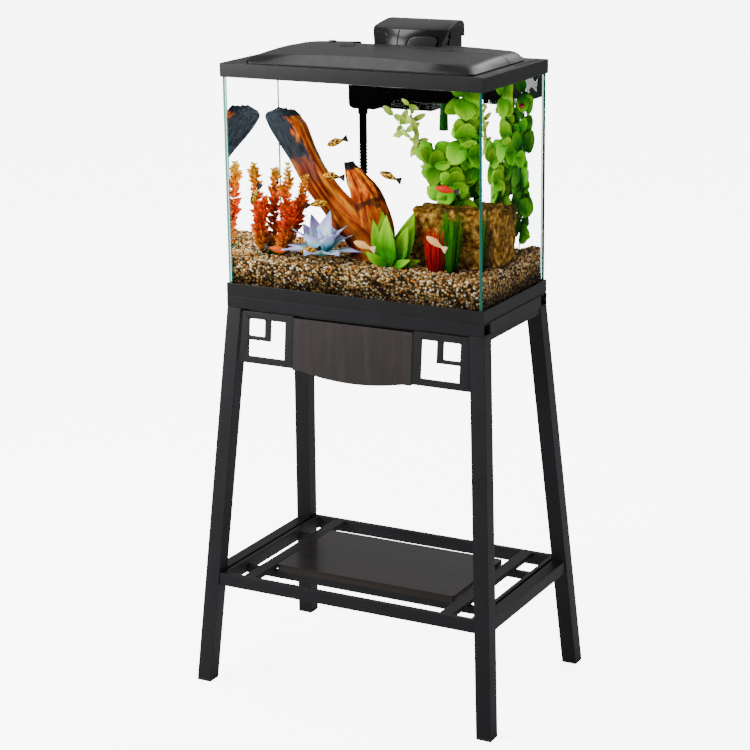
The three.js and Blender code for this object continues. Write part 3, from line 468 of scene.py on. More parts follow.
def driftwood_look(name, tip, tip_from, flank_toward, flank_from, band):
    """Golden-orange wood with streaks along the limb, a red-brown base, dark tip and band, and painted shade
    on a flank.

    The tip is dark beyond tip_from, and the band is a dark ring, both as places along the limb. A band
    of -1 leaves it out. The flank faces flank_toward and is painted shade; it is narrower for a higher
    flank_from.
    """
    look = Look(name, roughness=0.5, specular=0.03, depth=DEEP)
    angle = look.math("MULTIPLY", look.axis("X", "UV"), math.tau)
    along = look.axis("Y", "UV")
    ring = {"X": look.math("COSINE", angle), "Y": look.math("SINE", angle)}
    slow = look.node("ShaderNodeCombineXYZ", {**ring, "Z": look.math("MULTIPLY", along, 1.6)}).outputs[0]
    inputs = {"Vector": slow, "Scale": 2.6, "Detail": 9.0, "Distortion": 0.5}
    streaks = look.node("ShaderNodeTexNoise", inputs).outputs["Fac"]
    fine = look.node("ShaderNodeTexNoise", {"Vector": slow, "Scale": 13.0, "Detail": 6.0}).outputs["Fac"]
    grain = look.ramp(streaks, [
        (0.30, (0.16, 0.04, 0.01)),
        (0.42, (0.50, 0.15, 0.03)),
        (0.52, (0.86, 0.34, 0.04)),
        (0.62, (0.96, 0.50, 0.08)),
        (0.74, (0.98, 0.70, 0.26)),
    ])
    grain = look.mix(look.span(fine, 0.50, 0.66, 0.0, 0.75), grain, (0.045, 0.012, 0.004, 1))
    rough = look.span(look.noise(38, 5), 0.3, 0.7, -0.07, 0.07)
    level = look.math("ADD", along, rough)
    grain = look.mix(look.span(level, 0.46, 0.16, 0.0, 0.72), grain, (0.085, 0.013, 0.003, 1))
    in_band = look.span(look.math("ABSOLUTE", look.math("SUBTRACT", level, band)), 0.05, 0.02)
    grain = look.mix(look.math("MULTIPLY", in_band, 0.85), grain, (0.02, 0.008, 0.005, 1))
    # Painted shade: the side that faces flank_toward is darkened, on the upper part of the limb.
    sides = {0: look.geometry("Normal"), 1: flank_toward}
    facing = look.node("ShaderNodeVectorMath", sides, operation="DOT_PRODUCT")
    ragged = look.math("MULTIPLY", look.math("SUBTRACT", fine, 0.5), 0.8)
    uneven = look.math("ADD", look.math("MULTIPLY", rough, 3.0), ragged)
    on_flank = look.math("ADD", uneven, facing.outputs["Value"])
    upper = look.span(level, 0.42, 0.56)
    flank = look.math("MULTIPLY", look.span(on_flank, flank_from, flank_from + 0.25), upper)
    dark = look.math("MAXIMUM", flank, look.span(level, tip_from, tip_from + 0.04))
    # The tip's dark colour, for the dark tip and for the painted shade on the flank.
    dark_tip_and_flank_shade = look.mix(look.span(fine, 0.4, 0.6), (*tip, 1), (*(0.3 * c for c in tip), 1))
    look.color(look.mix(dark, grain, dark_tip_and_flank_shade))
    return look.bump(fine, 0.6, 1.6).material


def stone_look():
    """Brown stone with dark stains and speckles."""
    look = Look("mossy_stone", roughness=0.85, specular=0.0, depth=STONE_DEEP)
    rock = look.ramp(look.noise(110, 10), [
        (0.30, (0.14, 0.08, 0.025)),
        (0.45, (0.40, 0.27, 0.10)),
        (0.58, (0.60, 0.44, 0.19)),
        (0.74, (0.80, 0.66, 0.38)),
    ])
    stains = look.span(look.noise(26, 6, (1, 1, 0.5)), 0.48, 0.66, 0.0, 0.8)
    stained = look.mix(stains, rock, (0.035, 0.026, 0.010, 1))
    speckle = look.span(look.noise(420, 3), 0.55, 0.65, 0.0, 0.5)
    look.color(look.mix(speckle, stained, (0.03, 0.02, 0.008, 1)))
    return look.bump(look.noise(220, 8), 0.8, 2.5).material


def leaf_look(name, stops, vein, vein_strength, heights=None):
    """A leaf's colours along it, or up the plant between two heights, with side veins and a midrib."""
    look = Look(name, roughness=0.38, specular=0.03, depth=DEEP)
    look.soft(0.12, (0.004, 0.004, 0.001))
    along = look.axis("Y", "UV")
    across = look.math("ABSOLUTE", look.math("SUBTRACT", look.axis("X", "UV"), 0.5))
    if heights:
        low, high = heights
        height = look.math("ADD", look.axis("Z"), look.span(look.noise(120, 3), 0.3, 0.7, -0.014, 0.014))
        patchy = look.span(height, low * MM, high * MM)
    else:
        patchy = look.math("ADD", along, look.span(look.noise(90, 3), 0.3, 0.7, -0.06, 0.06))
    color = look.ramp(patchy, stops)
    wave = look.math("SINE", look.math("MULTIPLY", look.math("SUBTRACT", along, across), 44.0))
    rib = look.math("LESS_THAN", across, 0.025)
    lines = look.math("MAXIMUM", look.span(wave, 0.65, 1.0), rib)
    veined = look.mix(look.math("MULTIPLY", lines, vein_strength), color, (*vein, 1))
    each = look.geometry("Random Per Island")
    look.color(look.mix(1.0, veined, look.span(each, 0, 1, 0.5, 1.3), "MULTIPLY"))
    return look.bump(wave, 0.35, 0.8).material


def petal_look():
    """Silk petals: yellow at the heart, then teal, pale blue and violet towards the tip."""
    look = Look("petals", roughness=0.5, specular=0.03, depth=PETAL_DEEP)
    look.soft(0.2, (0.004, 0.004, 0.004))
    whole = look.ramp(look.axis("Y", "UV"), [
        (0.0, (0.75, 0.70, 0.10)),
        (0.12, (0.06, 0.46, 0.42)),
        (0.30, (0.20, 0.62, 0.72)),
        (0.5, (0.66, 0.86, 0.95)),
        (0.8, (0.60, 0.42, 0.92)),
        (1.0, (0.20, 0.55, 0.80)),
    ])
    streaks = look.span(look.noise(300, 3), 0.45, 0.65, 0.0, 0.35)
    look.color(look.mix(streaks, whole, (0.30, 0.55, 0.80, 1)))
    return look.material


def fish_look(name, body, spots, tail):
    """Scales with spots on the flanks and a tail of its own colour, along the fish's UV."""
    look = Look(name, roughness=0.3, specular=0.06, depth=DEEP)
    along = look.axis("Y", "UV")
    spotted = look.span(look.noise(330, 2), 0.47, 0.51)
    skin = look.mix(spotted, (*(c**DEEP for c in body), 1), (*spots, 1))
    look.color(look.mix(look.span(along, 0.74, 0.8), skin, (*tail, 1)))
    return look.bump(look.noise(1500, 2), 0.3, 0.2).material


def filter_box_look():
    """Glossy black plastic, matte on the wall that faces the tank."""
    look = Look("filter_box_plastic", (0.002, 0.002, 0.0022), 0.25)
    across = look.node("ShaderNodeSeparateXYZ", {"Vector": look.geometry("Normal")}).outputs["Y"]
    look.set("Specular IOR Level", look.span(across, -0.6, -0.2, 0.0, 0.3))
    return look.bump(look.noise(700, 2), 0.1, 0.12).material


# The looks of the CAD's slots. Those of the contents aren't here, because other pieces replace them.
LOOKS = {
    "steel_black": moulded("black_powder_coat", (0.0060, 0.0061, 0.0070), 0.38, 1400, 0.3, 0.12),
    "pad_rubber": moulded("rubber_feet", (0.004, 0.004, 0.004), 0.8, 700, 0.4, 0.3),
    "frame_plastic": moulded("black_frame_plastic", (0.0034, 0.0034, 0.0038), 0.36, 1000, 0.2, 0.16),
    "hood_plastic": moulded("grained_hood_plastic", (0.0028, 0.0029, 0.0034), 0.36, 1100, 0.5, 0.18),
    "filter_plastic": moulded("glossy_filter_plastic", (0.002, 0.002, 0.0022), 0.22, 700, 0.1, 0.3),
    "espresso_wood": wood(
        "espresso_veneer", (1, 1, 0.06),
        [(0.0045, 0.0026, 0.0024), (0.0085, 0.005, 0.0046), (0.013, 0.0085, 0.0078)], 0.4, 0.03,
    ),
    "pin_steel": moulded("bright_steel", (0.55, 0.56, 0.58), 0.28, 300, 0.1, metallic=1.0),
    "lens_white": moulded("frosted_lens", (0.82, 0.84, 0.87), 0.4, 500, 0.2),
    "impeller_white": moulded("white_plastic", (0.70, 0.70, 0.68), 0.4, 500, 0.1),
    "floss": moulded("filter_floss", (0.70, 0.76, 0.83), 0.9, 260, 1.0),
    "switch_grey": moulded("switch_plastic", (0.035, 0.036, 0.04), 0.4, 900, 0.2),
}
SUBMERGED = moulded("submerged_filter_plastic", (0.0014, 0.0014, 0.0015), 0.6, 700, 0.1, 0.0)
PANE_EDGE = (0.02, 0.17, 0.125)
# Nodes that look different from the rest of their slot, and the panes.
NODE_LOOKS = {
    "shelf_panel": wood(
        "glossy_shelf_veneer", (0.05, 1, 1),
        [(0.003, 0.0016, 0.0014), (0.006, 0.0034, 0.0028), (0.010, 0.006, 0.005)], 0.3, 0.22,
    ),
    "filter_box": filter_box_look(),
    "return_shroud": SUBMERGED,
    "pump_housing": SUBMERGED,
    "intake_tube": SUBMERGED,
    "strainer": SUBMERGED,
    # Painted light and shade: the left pane's edge is painted lighter and the right one's darker.
    "glass_left": pane_glass("side_glass_left", "X", (0.05, 0.20, 0.155)),
    "glass_right": pane_glass("side_glass_right", "X", (0.001, 0.045, 0.032)),
    "glass_front": pane_glass("front_glass", "Y", PANE_EDGE),
    "glass_back": pane_glass("back_glass", "Y", PANE_EDGE),
    "glass_bottom": pane_glass("floor_glass", "Z", PANE_EDGE),
}
# The width of the bevelled edges in each slot.
BEVELS = {
    "steel_black": 0.9,
    "frame_plastic": 0.8,
    "hood_plastic": 0.5,
    "filter_plastic": 0.9,
    "espresso_wood": 1.0,
    "pad_rubber": 0.8,
    "floss": 1.0,
}
# Thin or curved pieces are shaded smooth and keep their edges as they are.
SMOOTH_ONLY = {
    "hood_lid", "hood_rear_cap", "strainer", "impeller", "lid_hinge_pin_left", "lid_hinge_pin_right",
}


def dress_frame():
    """Gives each CAD node its material, small rounded edges and smooth shading."""
    for part in frame["record"]["subparts"]:
        node, slot = part["node"], part["material_slot"]
        obj = frame["nodes"][node]
        material = NODE_LOOKS.get(node) or LOOKS.get(slot)
        if material is None:
            continue
        if not obj.material_slots:
            obj.data.materials.append(material)
        for place in obj.material_slots:
            place.material = material
        soften(obj, 0.0 if node in SMOOTH_ONLY else BEVELS.get(slot, 0.0))


# ---- Water and gravel ----

# The panes' thickness, the height of the water's surface, and the gap between water and glass.
PANE = 5
WATER_TOP = 1136
WATER_CLEARANCE = 0.15


def add_water():
    """One closed block of water between the panes, with the gravel and the contents in it."""
    _, bottom_high = millimetres("glass_bottom")
    left_low, _ = millimetres("glass_left")
    front_low, _ = millimetres("glass_front")
    half_x = -left_low.x - PANE - WATER_CLEARANCE
    half_y = -front_low.y - PANE - WATER_CLEARANCE
    levels = (bottom_high.z + WATER_CLEARANCE, WATER_TOP)
    corners = [(x, y, z) for z in levels for y in (-half_y, half_y) for x in (-half_x, half_x)]
    faces = [(0, 2, 3, 1), (4, 5, 7, 6), (0, 1, 5, 4), (2, 6, 7, 3), (0, 4, 6, 2), (1, 3, 7, 5)]
    water = add_piece("water", corners, faces, water_look(), TANK_BODY)
    water.data.shade_flat()


# Half the gravel bed's depth, its rise from front to back, and its mound at the rear right.
BED_HALF_DEPTH = 124.5
BED_RISE = 10
MOUND_HEIGHT = 9
MOUND_MIDDLE = (225, 95)
MOUND_REACH = (45, 60)


def bed_height(x, y):
    """The gravel's height: it rises to the back, with ripples, lumps and the mound."""
    back = (y + BED_HALF_DEPTH) / (2 * BED_HALF_DEPTH)
    ripple = 1.6 * math.sin(x / 31) * math.cos(y / 23)
    off_x = (x - MOUND_MIDDLE[0]) / MOUND_REACH[0]
    off_y = (y - MOUND_MIDDLE[1]) / MOUND_REACH[1]
    mound = MOUND_HEIGHT * math.exp(-(off_x**2) - off_y**2)
    lumps = 2.2 * noise.noise(Vector((x / 17, y / 17, 3.0)))
    return BED_FRONT + BED_RISE * back + ripple * min(1, 4 * back) + mound + lumps * min(1, 6 * back + 0.3)


def add_gravel():
    """A closed bed on the CAD gravel's outline, with a fine uneven top."""
    low, high = millimetres("gravel_bed")
    columns, rows = 150, 76
    points = []
    for level in range(2):
        for i in range(columns + 1):
            for j in range(rows + 1):
                x = low.x + (high.x - low.x) * i / columns
                y = low.y + (high.y - low.y) * j / rows
                height = bed_height(x, y) + 0.8 * noise.noise(Vector((x / 3, y / 3, 0)))
                points.append((x, y, height if level else low.z))
    top = (columns + 1) * (rows + 1)
    faces = []
    for i in range(columns):
        for j in range(rows):
            a = i * (rows + 1) + j
            b = a + rows + 1
            faces.append((top + a, top + b, top + b + 1, top + a + 1))
            faces.append((a, a + 1, b + 1, b))
    for i in range(columns):
        a = i * (rows + 1)
        b = a + rows + 1
        faces.append((a, b, top + b, top + a))
        faces.append((b + rows, a + rows, top + a + rows, top + b + rows))
    for j in range(rows):
        end = columns * (rows + 1) + j
        faces.append((j + 1, j, top + j, top + j + 1))
        faces.append((end, end + 1, top + end + 1, top + end))
    bed = add_piece("gravel", points, faces, gravel_look(), TANK_BODY, ["gravel_bed"])
    soften(bed)


PEBBLES = 5200
# How far the pebbles' middles keep from the panes.
PEBBLE_MARGIN = 4


def add_pebbles():
    """Loose stones on the bed, with more of them near the front pane."""
    low, high = millimetres("gravel_bed")
    draw = random.Random(7)
    ball = bmesh.new()
    bmesh.ops.create_icosphere(ball, subdivisions=1, radius=1)
    ball_points = [v.co.copy() for v in ball.verts]
    ball_faces = [[v.index for v in face.verts] for face in ball.faces]
    ball.free()
    points, faces = [], []
    for _ in range(PEBBLES):
        size = draw.uniform(1.6, 3.9)
        x = draw.uniform(low.x + PEBBLE_MARGIN, high.x - PEBBLE_MARGIN)
        y = low.y + PEBBLE_MARGIN + (high.y - low.y - 2 * PEBBLE_MARGIN) * draw.random() ** 1.25
        middle = Vector((x, y, bed_height(x, y) + 0.2 * size))
        stretch = Vector([size * draw.uniform(0.7, 1.25) for _ in range(3)])
        turn = draw.uniform(0, math.tau)
        seed = draw.uniform(0, 100)
        first = len(points)
        for p in ball_points:
            bulge = 1 + 0.22 * noise.noise(p * 1.3 + Vector((seed, 0, 0)))
            q = Vector((p.x * stretch.x, p.y * stretch.y, p.z * stretch.z * 0.75)) * bulge
            q = Vector((
                q.x * math.cos(turn) - q.y * math.sin(turn),
                q.x * math.sin(turn) + q.y * math.cos(turn),
                q.z,
            ))
            points.append(middle + q)
        faces += [tuple(first + i for i in face) for face in ball_faces]
    add_piece("pebbles", points, faces, pebble_look(), TANK_BODY)


# ---- Driftwood, stone and flower ----


def add_limb(name, path, material, seed):
    """A branch along a path of points, each with its width, depth and tilt, with long grooves."""
    levels, sides = 72, 56
    rows = smooth_path(path, levels)
    loops, uvs = [], []
    for level, row in enumerate(rows):
        x, y, z, width, depth, tilt = row
        t = level / levels
        loop = []
        for i in range(sides):
            uvs.append((i / sides, t))
            angle = math.tau * (i / sides + 0.25)
            around = on_circle(angle)
            twisted = on_circle(angle + 0.9 * t)
            knot = 1 + 0.10 * math.sin(3 * angle + t * (len(path) - 1))
            grooves = 0.16 * noise.noise(twisted * 3.1 + Vector((0, 0, 1.1 * t + seed)))
            fine = 0.05 * noise.noise(twisted * 9 + Vector((0, 0, 3 * t + seed)))
            lumps = 0.10 * noise.noise(twisted * 1.2 + Vector((0, 0, 7 * t + seed)))
            broken = 45 * max(t - 0.9, 0) * noise.noise(twisted * 4 + Vector((seed, 0, 9)))
            size = knot + grooves + fine + lumps
            across = width / 2 * around.x * size
            along = depth / 2 * around.y * size
            rise = across * math.sin(tilt) + broken
            loop.append(Vector((x + across * math.cos(tilt), y + along, z + rise)))
        loops.append(loop)
    points, faces = loft(loops)
    add_piece(name, points, faces, material, TANK_BODY, ["driftwood"], uvs)


# Each point is a place, the arm's width and depth there, and how far the width is tilted in radians.
MAIN_ARM = [
    (0, 2, 790, 100, 74, 0.1),
    (-14, 6, 838, 92, 66, 0.35),
    (-66, 14, 880, 62, 50, 0.5),
    (-119, 26, 930, 54, 44, 0.45),
    (-160, 38, 985, 56, 40, 0.25),
    (-192, 46, 1030, 74, 38, 0.1),
    (-205, 48, 1050, 66, 30, 0.0),
    (-201, 48, 1060, 34, 18, 0.0),
]
SECOND_ARM = [
    (2, 10, 800, 76, 56, 0),
    (-10, 14, 870, 66, 48, 0.25),
    (-26, 16, 920, 56, 38, 0.3),
    (-46, 18, 955, 36, 28, 0.3),
    (-60, 20, 976, 18, 16, 0.2),
]


def add_driftwood():
    """A long arm that leans to the left, with a grey flank of painted shade, and a short one with a dark band
    and a dark flank of painted shade.
    """
    main = driftwood_look(
        "driftwood_main", tip=(0.030, 0.038, 0.050), tip_from=0.78,
        flank_toward=(-0.88, -0.48, 0), flank_from=0.18, band=-1.0,
    )
    second = driftwood_look(
        "driftwood_second", tip=(0.008, 0.008, 0.010), tip_from=0.84,
        flank_toward=(0.94, -0.34, 0), flank_from=0.70, band=0.42,
    )
    add_limb("driftwood_main_arm", MAIN_ARM, main, 2.0)
    add_limb("driftwood_second_arm", SECOND_ARM, second, 5.0)


STONE_CORNER = 15


def add_stone():
    """A block on the CAD stone's box, with round corners and an uneven face."""
    low, high = millimetres("stone_block")
    middle = (low + high) / 2
    half = (high - low) / 2
    shape = bmesh.new()
    bmesh.ops.create_cube(shape, size=2)
    bmesh.ops.subdivide_edges(shape, edges=shape.edges[:], cuts=30, use_grid_fill=True)
    core = half - Vector((STONE_CORNER, STONE_CORNER, STONE_CORNER))
    for vertex in shape.verts:
        p = Vector((vertex.co.x * half.x, vertex.co.y * half.y, vertex.co.z * half.z))
        inner = Vector([max(-c, min(c, v)) for v, c in zip(p, core)])
        offset = (p - inner).normalized() * STONE_CORNER
        place = middle + inner + offset
        rough = 5 * noise.noise(place / 26) + 2.2 * noise.noise(place / 9) - 3
        vertex.co = place + offset.normalized() * rough
    shape.verts.index_update()
    points = [v.co.copy() for v in shape.verts]
    faces = [tuple(v.index for v in face.verts) for face in shape.faces]
    shape.free()
    add_piece("stone", points, faces, stone_look(), TANK_BODY, ["stone_block"])


FLOWER = Vector((-90, -56, 812))


def add_flower():
    """Three rings of petals around a heart of stamens."""
    petals = Sheets()
    # Each ring has a number of petals, their length, width and rise, and the ring's turn.
    rings = [(8, 84, 40, 0.30, 0.0), (6, 72, 36, 0.85, 0.3), (5, 44, 20, 1.15, 0.1)]
    for count, length, width, rise, turn in rings:
        for i in range(count):
            angle = math.tau * i / count + turn
            back = max(0, math.sin(angle))
            lift = rise + 0.45 * back
            reach = length * (1 + 0.2 * back)
            petals.leaf(FLOWER, direction(angle, lift), reach, width, pointed, curl=-0.12, fold=0.35, rows=10)
    petals.piece("flower_petals", petal_look(), "flower_silk", ["flower_ornament"], 0.6)
    heart = Sheets()
    draw = random.Random(3)
    for _ in range(26):
        angle = draw.uniform(0, math.tau)
        heading = on_circle(angle, 1, 0.35)
        heart.leaf(FLOWER + Vector((0, 0, 6)), heading, draw.uniform(12, 20), 2.4, blade, rows=3, columns=2)
    yellow = leaf_look("stamens", [(0.0, (0.5, 0.35, 0.02)), (1.0, (0.9, 0.72, 0.08))], (0.9, 0.7, 0.1), 0.2)
    heart.piece("flower_heart", yellow, "flower_silk", thickness=0.6)


# ---- Plants ----


# How far each pair of round leaves is turned from the pair below it, in radians.
PAIR_TURN = 1.1


def round_leaves(sheets, draw, path, pairs, length, width, start):
    """A stem with pairs of round leaves, from a starting place along it to its tip."""
    middles = sheets.stem(path, 1.6, 3 * pairs)
    for pair in range(pairs):
        t = start + (1 - start) * (pair + 1) / pairs
        middle = middles[min(int(t * 3 * pairs), 3 * pairs)]
        turn = pair * PAIR_TURN + draw.uniform(-0.4, 0.4)
        size = draw.uniform(0.62, 1.1)
        for side in (0, math.pi):
            angle = turn + side
            heading = Vector((math.cos(angle), 0.5 * math.sin(turn), math.sin(angle) + 0.1))
            facing = Vector((0.8 * math.cos(angle) + 0.3, -1, draw.uniform(-0.2, 0.9)))
            sheets.leaf(
                middle, heading, length * size, width * size, rounded, up=facing,
                curl=draw.uniform(-0.25, 0.05), fold=draw.uniform(0.05, 0.25), rows=8, columns=6,
            )


def leafy_stems(draw, stems, start):
    """Sheets with one stem of round leaves for each path, number of pairs, length and width."""
    sheets = Sheets()
    for path, pairs, length, width in stems:
        round_leaves(sheets, draw, path, pairs, length, width, start)
    return sheets


def add_tall_plants():
    """Dark green stems at the rear right, lime ones before them, a pale sprig and a bloom."""
    draw = random.Random(11)
    green = leaf_look(
        "round_leaf_green",
        [(0.0, (0.03, 0.20, 0.01)), (0.4, (0.12, 0.42, 0.02)), (1.0, (0.34, 0.64, 0.05))],
        (0.005, 0.06, 0.004), 0.6,
    )
    dark = leafy_stems(draw, [
        ([(182, 92, 812), (196, 88, 900), (202, 92, 1000), (208, 88, 1104)], 11, 42, 40),
        ([(205, 70, 812), (214, 68, 880), (212, 72, 960), (214, 66, 1040)], 7, 38, 36),
        ([(160, 82, 812), (166, 80, 900), (170, 76, 1000), (166, 76, 1060)], 9, 44, 42),
    ], 0.15)
    # A thick stem hangs from under the return shroud.
    dark.stem([(97, 108, 1034), (97, 110, 1090), (96, 110, 1132)], 9)
    dark.piece("tall_plant_leaves", green, "foliage_green", ["plant_tall"], 0.6)

    pale = leaf_look(
        "round_leaf_pale",
        [(0.0, (0.06, 0.32, 0.02)), (0.4, (0.28, 0.60, 0.04)), (1.0, (0.56, 0.82, 0.10))],
        (0.05, 0.26, 0.01), 0.4,
    )
    light = leafy_stems(draw, [
        ([(125, 88, 812), (138, 72, 920), (150, 66, 1020), (158, 56, 1118)], 12, 44, 42),
        ([(150, 60, 812), (140, 54, 900), (130, 50, 960)], 7, 40, 38),
        ([(118, 80, 812), (114, 72, 880), (104, 68, 950), (94, 64, 1000)], 7, 42, 38),
    ], 0.45)
    light.piece("tall_plant_lime_leaves", pale, "foliage_lime", thickness=0.6)

    sprig = leafy_stems(draw, [
        ([(112, 88, 900), (92, 80, 960), (54, 74, 1010), (12, 68, 1060)], 9, 30, 12),
        ([(112, 88, 900), (84, 78, 970), (56, 72, 1030), (44, 68, 1080)], 9, 30, 12),
    ], 0.3)
    young = leaf_look(
        "young_leaf_yellow",
        [(0.0, (0.40, 0.62, 0.12)), (0.5, (0.68, 0.84, 0.24)), (1.0, (0.90, 0.94, 0.50))],
        (0.5, 0.65, 0.15), 0.3,
    )
    sprig.piece("tall_plant_young_leaves", young, "foliage_lime")

    bloom = Sheets()
    for i in range(9):
        angle = math.tau * i / 9
        heading = on_circle(angle, 0.5 + 0.5 * (i % 2))
        bloom.leaf((222, 62, 1078), heading, 15, 9, pointed, rows=5)
    magenta = leaf_look(
        "magenta_bloom", [(0.0, (0.25, 0.0, 0.05)), (1.0, (0.6, 0.02, 0.16))], (0.2, 0, 0.05), 0.5,
    )
    bloom.piece("magenta_flower", magenta, "foliage_red")


def plume(sheets, draw, path, whorls, reach):
    """A bushy stem: close rings of narrow leaves that point up and outward."""
    middles = sheets.stem(path, 1.8, whorls)
    for ring in range(whorls):
        t = ring / whorls
        size = reach * (0.55 + 0.9 * t - 1.15 * t**3)
        for i in range(8):
            angle = math.tau * i / 8 + ring * 0.7
            heading = on_circle(angle, draw.uniform(0.1, 0.9))
            length = size * draw.uniform(0.45, 1.15)
            facing = Vector((0, -1, 0.3)) if i % 3 else UP
            width = 0.42 * length
            sheets.leaf(middles[ring], heading, length, width, pointed, facing, 0.15, rows=4, columns=2)


def add_red_bush():
    """Six bushy stems, green at the foot and yellow at the tips, with low green leaves."""
    draw = random.Random(5)
    sheets = Sheets()
    paths = [
        [(-205, -48, 806), (-218, -50, 860), (-226, -50, 930), (-230, -52, 972)],
        [(-196, -40, 806), (-196, -36, 860), (-192, -36, 920), (-188, -38, 966)],
        [(-184, -48, 806), (-170, -52, 860), (-160, -52, 920), (-157, -50, 978)],
        [(-176, -38, 806), (-154, -36, 850), (-136, -38, 900), (-126, -38, 956)],
        [(-178, -58, 806), (-160, -66, 840), (-146, -66, 880), (-140, -64, 912)],
        [(-206, -60, 806), (-214, -66, 840), (-206, -68, 880), (-200, -66, 915)],
    ]
    for path in paths:
        plume(sheets, draw, path, whorls=26, reach=25)
    red = leaf_look(
        "red_bush_leaves",
        [
            (0.0, (0.10, 0.16, 0.02)),
            (0.15, (0.80, 0.36, 0.03)),
            (0.35, (0.78, 0.05, 0.02)),
            (0.58, (0.90, 0.20, 0.02)),
            (0.78, (0.98, 0.54, 0.04)),
            (0.95, (1.0, 0.86, 0.20)),
        ],
        (0.95, 0.60, 0.08), 0.3, (806, 985),
    )
    sheets.piece("red_bush", red, "foliage_red", ["plant_red_bush"])
    base = Sheets()
    for _ in range(30):
        angle = draw.uniform(0, math.tau)
        start = Vector((-190 + draw.uniform(-26, 26), -48 + draw.uniform(-14, 14), 804))
        heading = on_circle(angle, draw.uniform(0.5, 1.8))
        base.leaf(start, heading, draw.uniform(20, 36), 9, pointed, curl=-0.2, rows=5)
    green = leaf_look(
        "low_green_leaves", [(0.0, (0.02, 0.10, 0.01)), (1.0, (0.12, 0.40, 0.04))], (0.02, 0.1, 0.01), 0.4,
    )
    base.piece("red_bush_low_leaves", green, "foliage_green")


def add_broadleaf():
    """Seven tall leaves in the middle, and six low ones that spread out."""
    draw = random.Random(2)
    sheets = Sheets()
    tall_leaves, all_leaves = 7, 13
    for i in range(all_leaves):
        angle = math.tau * i / all_leaves * 2.4
        tall = i < tall_leaves
        out, rise = (0.5, 1.2) if tall else (1.0, 0.4)
        heading = Vector((out * math.cos(angle), 0.3 * math.sin(angle), rise * draw.uniform(0.8, 1.2)))
        start = Vector((50 + 8 * math.cos(angle), -52 + 5 * math.sin(angle), 804))
        length = draw.uniform(78, 108) if tall else draw.uniform(44, 62)
        toward = Vector((0.3 * math.cos(angle), -1, 0.4))
        sheets.leaf(start, heading, length, 0.36 * length, pointed, toward, -0.12, 0.35)
    lime = leaf_look(
        "broad_leaf_lime",
        [(0.0, (0.02, 0.18, 0.005)), (0.35, (0.12, 0.42, 0.01)), (1.0, (0.48, 0.68, 0.02))],
        (0.06, 0.3, 0.01), 0.45,
    )
    sheets.piece("broadleaf", lime, "foliage_lime", ["plant_broadleaf"], 0.6)


def add_tuft(name, slot, middle, foot_color, tip_color, height, spread, seed):
    """A round tuft of thin blades."""
    draw = random.Random(seed)
    sheets = Sheets()
    for _ in range(130):
        angle = draw.uniform(0, math.tau)
        heading = on_circle(angle, 1, draw.uniform(0.02, 0.16))
        start = Vector(middle) + on_circle(angle, 0, spread) * draw.random()
        sheets.leaf(start, heading, height * draw.uniform(0.6, 1), 3.4, blade, rows=5, columns=2)
    look = leaf_look(name, [(0.0, foot_color), (1.0, tip_color)], foot_color, 0.3)
    sheets.piece(name, look, slot)


# ---- Fish ----

# From nose to tail: the place along the fish, and the half height and half width there. All are
# shares of its length.
FISH_SECTIONS = [
    (0.0, 0.020, 0.015),
    (0.06, 0.075, 0.045),
    (0.15, 0.115, 0.070),
    (0.30, 0.150, 0.085),
    (0.45, 0.140, 0.075),
    (0.60, 0.100, 0.050),
    (0.72, 0.060, 0.028),
    (0.78, 0.055, 0.018),
    (0.86, 0.100, 0.010),
    (0.94, 0.145, 0.007),
    (1.0, 0.160, 0.005),
]
FISH_LENGTH = 44


def add_fish(name, middle, turn, pitch, material):
    """A small fish. Turn is the way it swims, from +X towards +Y, and pitch is how far it rises."""
    sides = 14
    heading = direction(turn, pitch)
    side = heading.cross(UP).normalized()
    over = side.cross(heading)
    loops, uvs = [], []
    for t, half_height, half_width in FISH_SECTIONS:
        fin = 0.05 * max(0, 1 - abs(t - 0.45) / 0.16)
        loop = []
        for i in range(sides):
            angle = math.tau * i / sides
            height = half_height + fin * max(0, math.sin(angle)) ** 6
            loop.append(
                Vector(middle)
                + heading * (FISH_LENGTH * (0.5 - t))
                + over * (FISH_LENGTH * height * math.sin(angle))
                + side * (FISH_LENGTH * half_width * math.cos(angle))
            )
            uvs.append((i / sides, t))
        loops.append(loop)
    points, faces = loft(loops)
    add_piece(name, points, faces, material, TANK_BODY, uvs=uvs)


def add_all_fish():
    """Each fish has a middle, the way it swims, how far it rises, and its look."""
    spotted = fish_look("fish_yellow", (0.85, 0.55, 0.05), (0.012, 0.008, 0.004), (0.004, 0.004, 0.004))
    orange = fish_look("fish_orange", (0.80, 0.22, 0.02), (0.50, 0.08, 0.01), (0.03, 0.02, 0.02))
    red = fish_look("fish_red", (0.70, 0.06, 0.02), (0.45, 0.03, 0.01), (0.02, 0.02, 0.02))
    pale = fish_look("fish_pale_gold", (0.80, 0.58, 0.32), (0.70, 0.35, 0.12), (0.75, 0.50, 0.30))
    school = [
        ((-38, -95, 1027), math.pi, -0.35, spotted),
        ((66, -95, 973), math.pi, 0.30, spotted),
        ((-60, -60, 960), math.pi, 0.05, spotted),
        ((-83, -95, 913), 0.3, 0.15, spotted),
        ((-208, -95, 921), math.pi, -1.1, spotted),
        ((-95, -98, 829), math.pi, -0.2, spotted),
        ((-169, -96, 824), 0.1, -0.1, orange),
        ((175, -95, 958), math.pi, 0.1, red),
        ((13, -95, 846), math.pi, 0.25, pale),
        ((154, -95, 863), math.pi, 0.5, pale),
    ]
    for number, (middle, turn, pitch, material) in enumerate(school, 1):
        add_fish(f"fish_{number}", middle, turn, pitch, material)


# ---- Filter cover details ----

# The cover's face by height: its front edge at the middle, half width and bow.
COVER_FACE = [(1167, 85, 67, 22), (1180, 89, 70, 22), (1192, 95, 74, 22), (1200, 101, 75, 20)]
COVER_MIDDLE = -9
PLATE = 0.8


